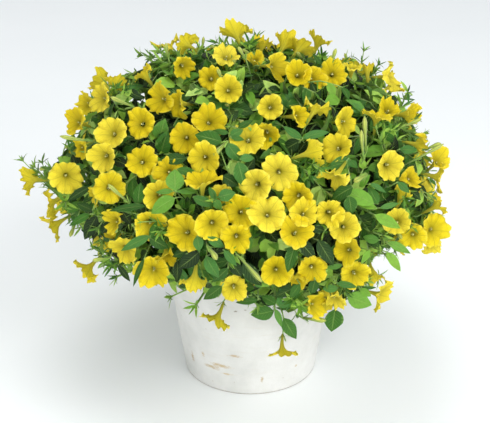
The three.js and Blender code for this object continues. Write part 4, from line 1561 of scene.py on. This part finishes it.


# The foot and the tip of each leaf in the picture, its width there, and its green, which goes from
# dark at 0 to pale at 1; besides each leaf's own tone it holds painted shade and painted light, as
# leaves that lie in shade are listed dark and lit ones pale
SEEN_LEAVES = [
    (222, 142, 196, 133, 17, 0.44), (229, 133, 212, 130, 6, 0.5), (230, 136, 243, 129, 9, 0.56),
    (238, 128, 252, 120, 7, 0.4), (231, 137, 244, 139, 6, 0.5), (227, 143, 240, 163, 14, 0.6),
    (240, 159, 254, 156, 9, 0.62), (238, 162, 245, 186, 17, 0.54), (222, 176, 239, 184, 12, 0.3),
    (218, 197, 235, 193, 13, 0.58), (214, 199, 221, 210, 9, 0.64), (187, 158, 160, 160, 12, 0.34),
    (177, 169, 196, 174, 9, 0.5), (175, 191, 175, 169, 19, 0.7), (173, 191, 156, 192, 6, 0.68),
    (176, 191, 195, 193, 5, 0.66), (175, 198, 150, 211, 17, 0.72), (193, 197, 214, 206, 10, 0.52),
    (216, 199, 208, 188, 7, 0.54), (302, 138, 283, 128, 8, 0.6), (303, 138, 328, 129, 9, 0.6),
    (300, 141, 281, 151, 14, 0.2), (352, 161, 328, 165, 14, 0.56), (350, 160, 357, 168, 7, 0.54),
    (374, 204, 344, 188, 17, 0.76), (353, 187, 330, 198, 14, 0.38), (378, 204, 368, 187, 11, 0.48),
    (377, 208, 356, 203, 7, 0.8), (349, 196, 352, 214, 14, 0.42), (362, 135, 356, 155, 8, 0.54),
    (363, 142, 366, 156, 6, 0.6), (400, 149, 417, 151, 9, 0.52), (398, 182, 409, 193, 8, 0.54),
    (396, 142, 380, 130, 8, 0.48), (370, 184, 387, 190, 6, 0.6), (380, 208, 400, 203, 6, 0.64),
    (375, 215, 401, 226, 12, 0.8), (379, 240, 363, 238, 10, 0.66), (388, 242, 411, 252, 9, 0.72),
    (387, 252, 401, 271, 10, 0.84), (318, 240, 333, 265, 15, 0.26), (298, 240, 316, 258, 14, 0.2),
    (295, 246, 286, 271, 13, 0.4), (300, 249, 284, 249, 5, 0.54), (342, 265, 327, 269, 6, 0.66),
    (370, 250, 361, 263, 7, 0.78), (338, 288, 323, 290, 8, 0.64), (337, 283, 358, 286, 7, 0.54),
    (347, 296, 371, 306, 18, 0.74), (335, 309, 332, 332, 22, 0.46), (315, 280, 312, 294, 11, 0.36),
    (360, 289, 371, 296, 8, 0.76), (362, 288, 377, 288, 4, 0.5), (199, 252, 180, 270, 16, 0.14),
    (178, 260, 176, 283, 10, 0.14), (189, 250, 172, 256, 9, 0.3), (206, 256, 216, 278, 13, 0.56),
    (224, 250, 236, 266, 8, 0.58), (222, 286, 205, 300, 12, 0.38), (228, 268, 214, 283, 10, 0.36),
    (258, 300, 236, 303, 7, 0.4), (243, 262, 259, 288, 15, 0.26), (232, 262, 240, 277, 12, 0.2),
    (274, 311, 252, 316, 15, 0.5), (276, 304, 262, 296, 10, 0.44), (277, 305, 282, 294, 7, 0.6),
    (278, 306, 293, 303, 8, 0.58), (284, 318, 294, 339, 14, 0.5), (275, 309, 283, 326, 7, 0.66),
    (300, 286, 275, 295, 12, 0.3), (300, 284, 290, 298, 9, 0.44), (197, 236, 200, 251, 11, 0.62),
    (208, 237, 224, 248, 10, 0.62), (90, 214, 69, 224, 8, 0.44), (97, 216, 82, 239, 14, 0.12),
    (90, 187, 67, 199, 9, 0.26), (92, 210, 77, 204, 9, 0.3), (110, 221, 102, 234, 9, 0.16),
    (118, 265, 130, 281, 7, 0.2), (144, 259, 132, 285, 6, 0.36), (138, 205, 139, 183, 13, 0.44),
    (146, 206, 110, 208, 8, 0.36), (121, 209, 131, 224, 11, 0.1), (150, 236, 121, 248, 10, 0.54),
    (149, 237, 168, 250, 12, 0.36), (150, 238, 157, 222, 8, 0.44), (322, 66, 313, 53, 6, 0.36),
]
# The foot and the tip of each closed flower in the picture, and how stout it is
SEEN_BUDS = [
    (129, 203, 110, 185, 1.0), (303, 318, 325, 318, 1.5), (237, 255, 264, 279, 1.1),
    (364, 160, 357, 132, 1.2), (366, 152, 362, 118, 1.1), (228, 141, 214, 157, 1.3),
    (207, 246, 219, 257, 1.3), (93, 141, 62, 140, 1.0), (367, 174, 353, 184, 1.4),
    (134, 107, 112, 100, 1.1), (400, 128, 419, 121, 1.0), (425, 150, 437, 143, 1.1),
    (330, 66, 336, 52, 1.2), (168, 58, 167, 46, 1.0), (132, 224, 141, 232, 1.1),
    (110, 258, 95, 259, 1.1), (414, 160, 441, 146, 1.0), (246, 60, 238, 50, 1.0),
]
# Where shoot tips show in the picture, and how far each stands in front of the mound's surface
SEEN_SPRIGS = [
    (364, 50, 0), (379, 64, 0), (141, 55, 0), (150, 58, 0), (160, 52, 0), (116, 88, 10),
    (124, 90, 8), (22, 160, 0), (34, 166, 0), (42, 162, 0), (38, 172, 0), (320, 168, 14),
    (310, 176, 12), (408, 208, 0), (412, 226, 0), (405, 198, 0), (384, 236, 6), (428, 194, 0),
    (93, 248, 0), (104, 262, 0), (112, 266, 0), (292, 300, 10), (300, 306, 6), (345, 292, 8),
    (366, 280, 8), (258, 306, 4), (215, 200, 12), (140, 222, 10), (230, 126, 14),
    (200, 48, 0), (216, 42, 0), (250, 44, 0), (256, 36, 0), (322, 56, 0), (396, 140, 10),
    (376, 128, 10), (392, 130, 10), (352, 60, 0), (66, 208, 0), (98, 228, 0), (160, 232, 8),
    (232, 250, 8), (380, 246, 4), (395, 250, 4), (408, 92, 0), (416, 118, 0), (424, 134, 0),
]
# How far the leaves and buds above stand in front of the mound's surface, in mm, and the green
# below which a leaf stands in its shade
LEAF_LIFT = 8
SHADED_LIFT = -9
SHADED_BELOW = 0.36
BUD_LIFT = 10
# What a seen leaf's length, width and green are multiplied by, as it droops, folds and is lit
LONGER = 1.04
WIDER = 1.08
SHADE_SHARE = 0.78

# Twigs that fill the mound's shell, and more of them inside it
LEAFY_TWIGS = 350
SHADED_TWIGS = 170
# Where they end, as shares of the way out, and how far in they are moved to be clear of flowers
LEAFY_SHELL = (0.86, 0.98)
SHADED_SHELL = (0.5, 0.75)
DEEPEST_TIP = 0.7
# How many degrees below its middle the mound's foliage ends, and how many more in front
FRINGE = 31
FRINGE_IN_FRONT = 9


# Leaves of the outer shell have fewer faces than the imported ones, and those inside it fewer still
PLAIN = dict(rows=4, columns=4)
PLAINER = dict(rows=4, columns=2)


def grow_shoot(shoot, number):
    """A packed shoot with all that grows on it, as one piece."""
    piece = Piece(SHOOT_FINISHES)

    def tip(curve, key, share=0.98, at=1, **size):
        tuft(piece, curve.at(at), curve.along(share), key, **size)

    def length(curve):
        return np.linalg.norm(curve.points[-1] - curve.points[0])

    branch(piece, shoot.leader, 20, (STEM_RADIUS, 1.6), 7, (0.15, 0.8))
    branch_leaves(piece, shoot.leader, 4, 0.62, (10, number))
    branch_leaves(piece, shoot.leader, 16, 0.22, (11, number), scale=1.15, wild=0.9, **PLAINER)
    tip(shoot.leader, (12, number), 0.99)
    for k, twig in enumerate(shoot.twigs):
        branch(piece, twig, 14, (TWIG_RADIUS, 1.2), 6, (0.5, 0.9))
        branch_leaves(piece, twig, 3, 0.45, (13, number, k))
        branch_leaves(piece, twig, 9, 0.1, (14, number, k), wild=0.8, **PLAINER)
        tip(twig, (15, number, k), 0.99)
    for k, curve in enumerate(shoot.added):
        branch(piece, curve, 6, (1.35, 1.05), 5, (0.6, 0.95))
        branch_leaves(piece, curve, 3 + int(length(curve) / 22), 0.3, (17, number, k),
                      scale=chance(16, number, k).uniform(0.6, 0.95), wild=0.5, **PLAIN)
        tip(curve, (18, number, k), count=4, size=0.8)
    for curve, i in shoot.leafy:
        draws = chance(19, i)
        branch(piece, curve, 5, (1.3, 0.9), 4, (0.5, 0.9))
        branch_leaves(piece, curve, 4 + int(length(curve) / 16), 0.25, (20, i),
                      scale=draws.uniform(0.7, 1.0), wild=0.45, **PLAIN)
        tip(curve, (21, i), count=4)
        if i % 7 == 0:
            ahead = unit(curve.along(0.98) + 0.3 * mound_outward(curve.points[-1]))
            bud(piece, curve.at(1), ahead, draws.uniform(14, 26), draws)
    for curve, i in shoot.shaded:
        # inside the mound the stems get darker greens and the leaves a near-black green: painted
        # shade
        branch(piece, curve, 4, (1.4, 1.0), 4, (0.3, 0.7))
        branch_leaves(piece, curve, 8, 0.2, (22, i), scale=1.35, wild=0.9, shade=0.06, **PLAINER)
    for curve, axes, foot, long, wide, shade, i in shoot.seen:
        draws = chance(23, i)
        branch(piece, curve, 5, (1.3, 0.9), 4, (0.5, 0.9))
        plant_leaf(piece, axes, foot, long, wide, draws, shade, even=True,
                   fold=draws.uniform(0.05, 0.2), arch=draws.uniform(0.1, 0.4), widest=0.44)
    for curve, foot, end, girth, i in shoot.buds:
        branch(piece, curve, 5, (1.3, 1.0), 5, (0.5, 0.9))
        bud(piece, foot, unit(end - foot), np.linalg.norm(end - foot), chance(24, i), girth)
    for curve, i in shoot.sprigs:
        branch(piece, curve, 6, (1.3, 0.8), 4, (0.5, 0.95))
        for k, share in enumerate((0.45, 0.7, 1.0)):
            tip(curve, (25, i, k), min(share, 0.98), share, count=5 + k, size=1.25 - 0.15 * k)
    return piece.made(f"{shoot.name}_grown", "petunia_leaf", shoot.name)


studio()
pot()
soil()
crown()
shoots = [Shoot(ring, i) for ring in SHOOT_RINGS for i in range(ring["count"])]
packed = grow_packed_flowers(shoots)
seen = [in_view(c, r, lift=lift) for c, r, _, _, _, lift in SEEN_FLOWERS]
branches = Branches(shoots)
grow_other_flowers(branches, packed + seen)
grow_seen_leaves(branches)
grow_buds(branches)
grow_sprigs(branches)
grow_leafy_twigs(branches)
for number, shoot in enumerate(shoots):
    grow_shoot(shoot, number)

own_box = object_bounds()
for low, high in (cad_box, own_box):
    json.dumps([list(low), list(high)]) + "\n"
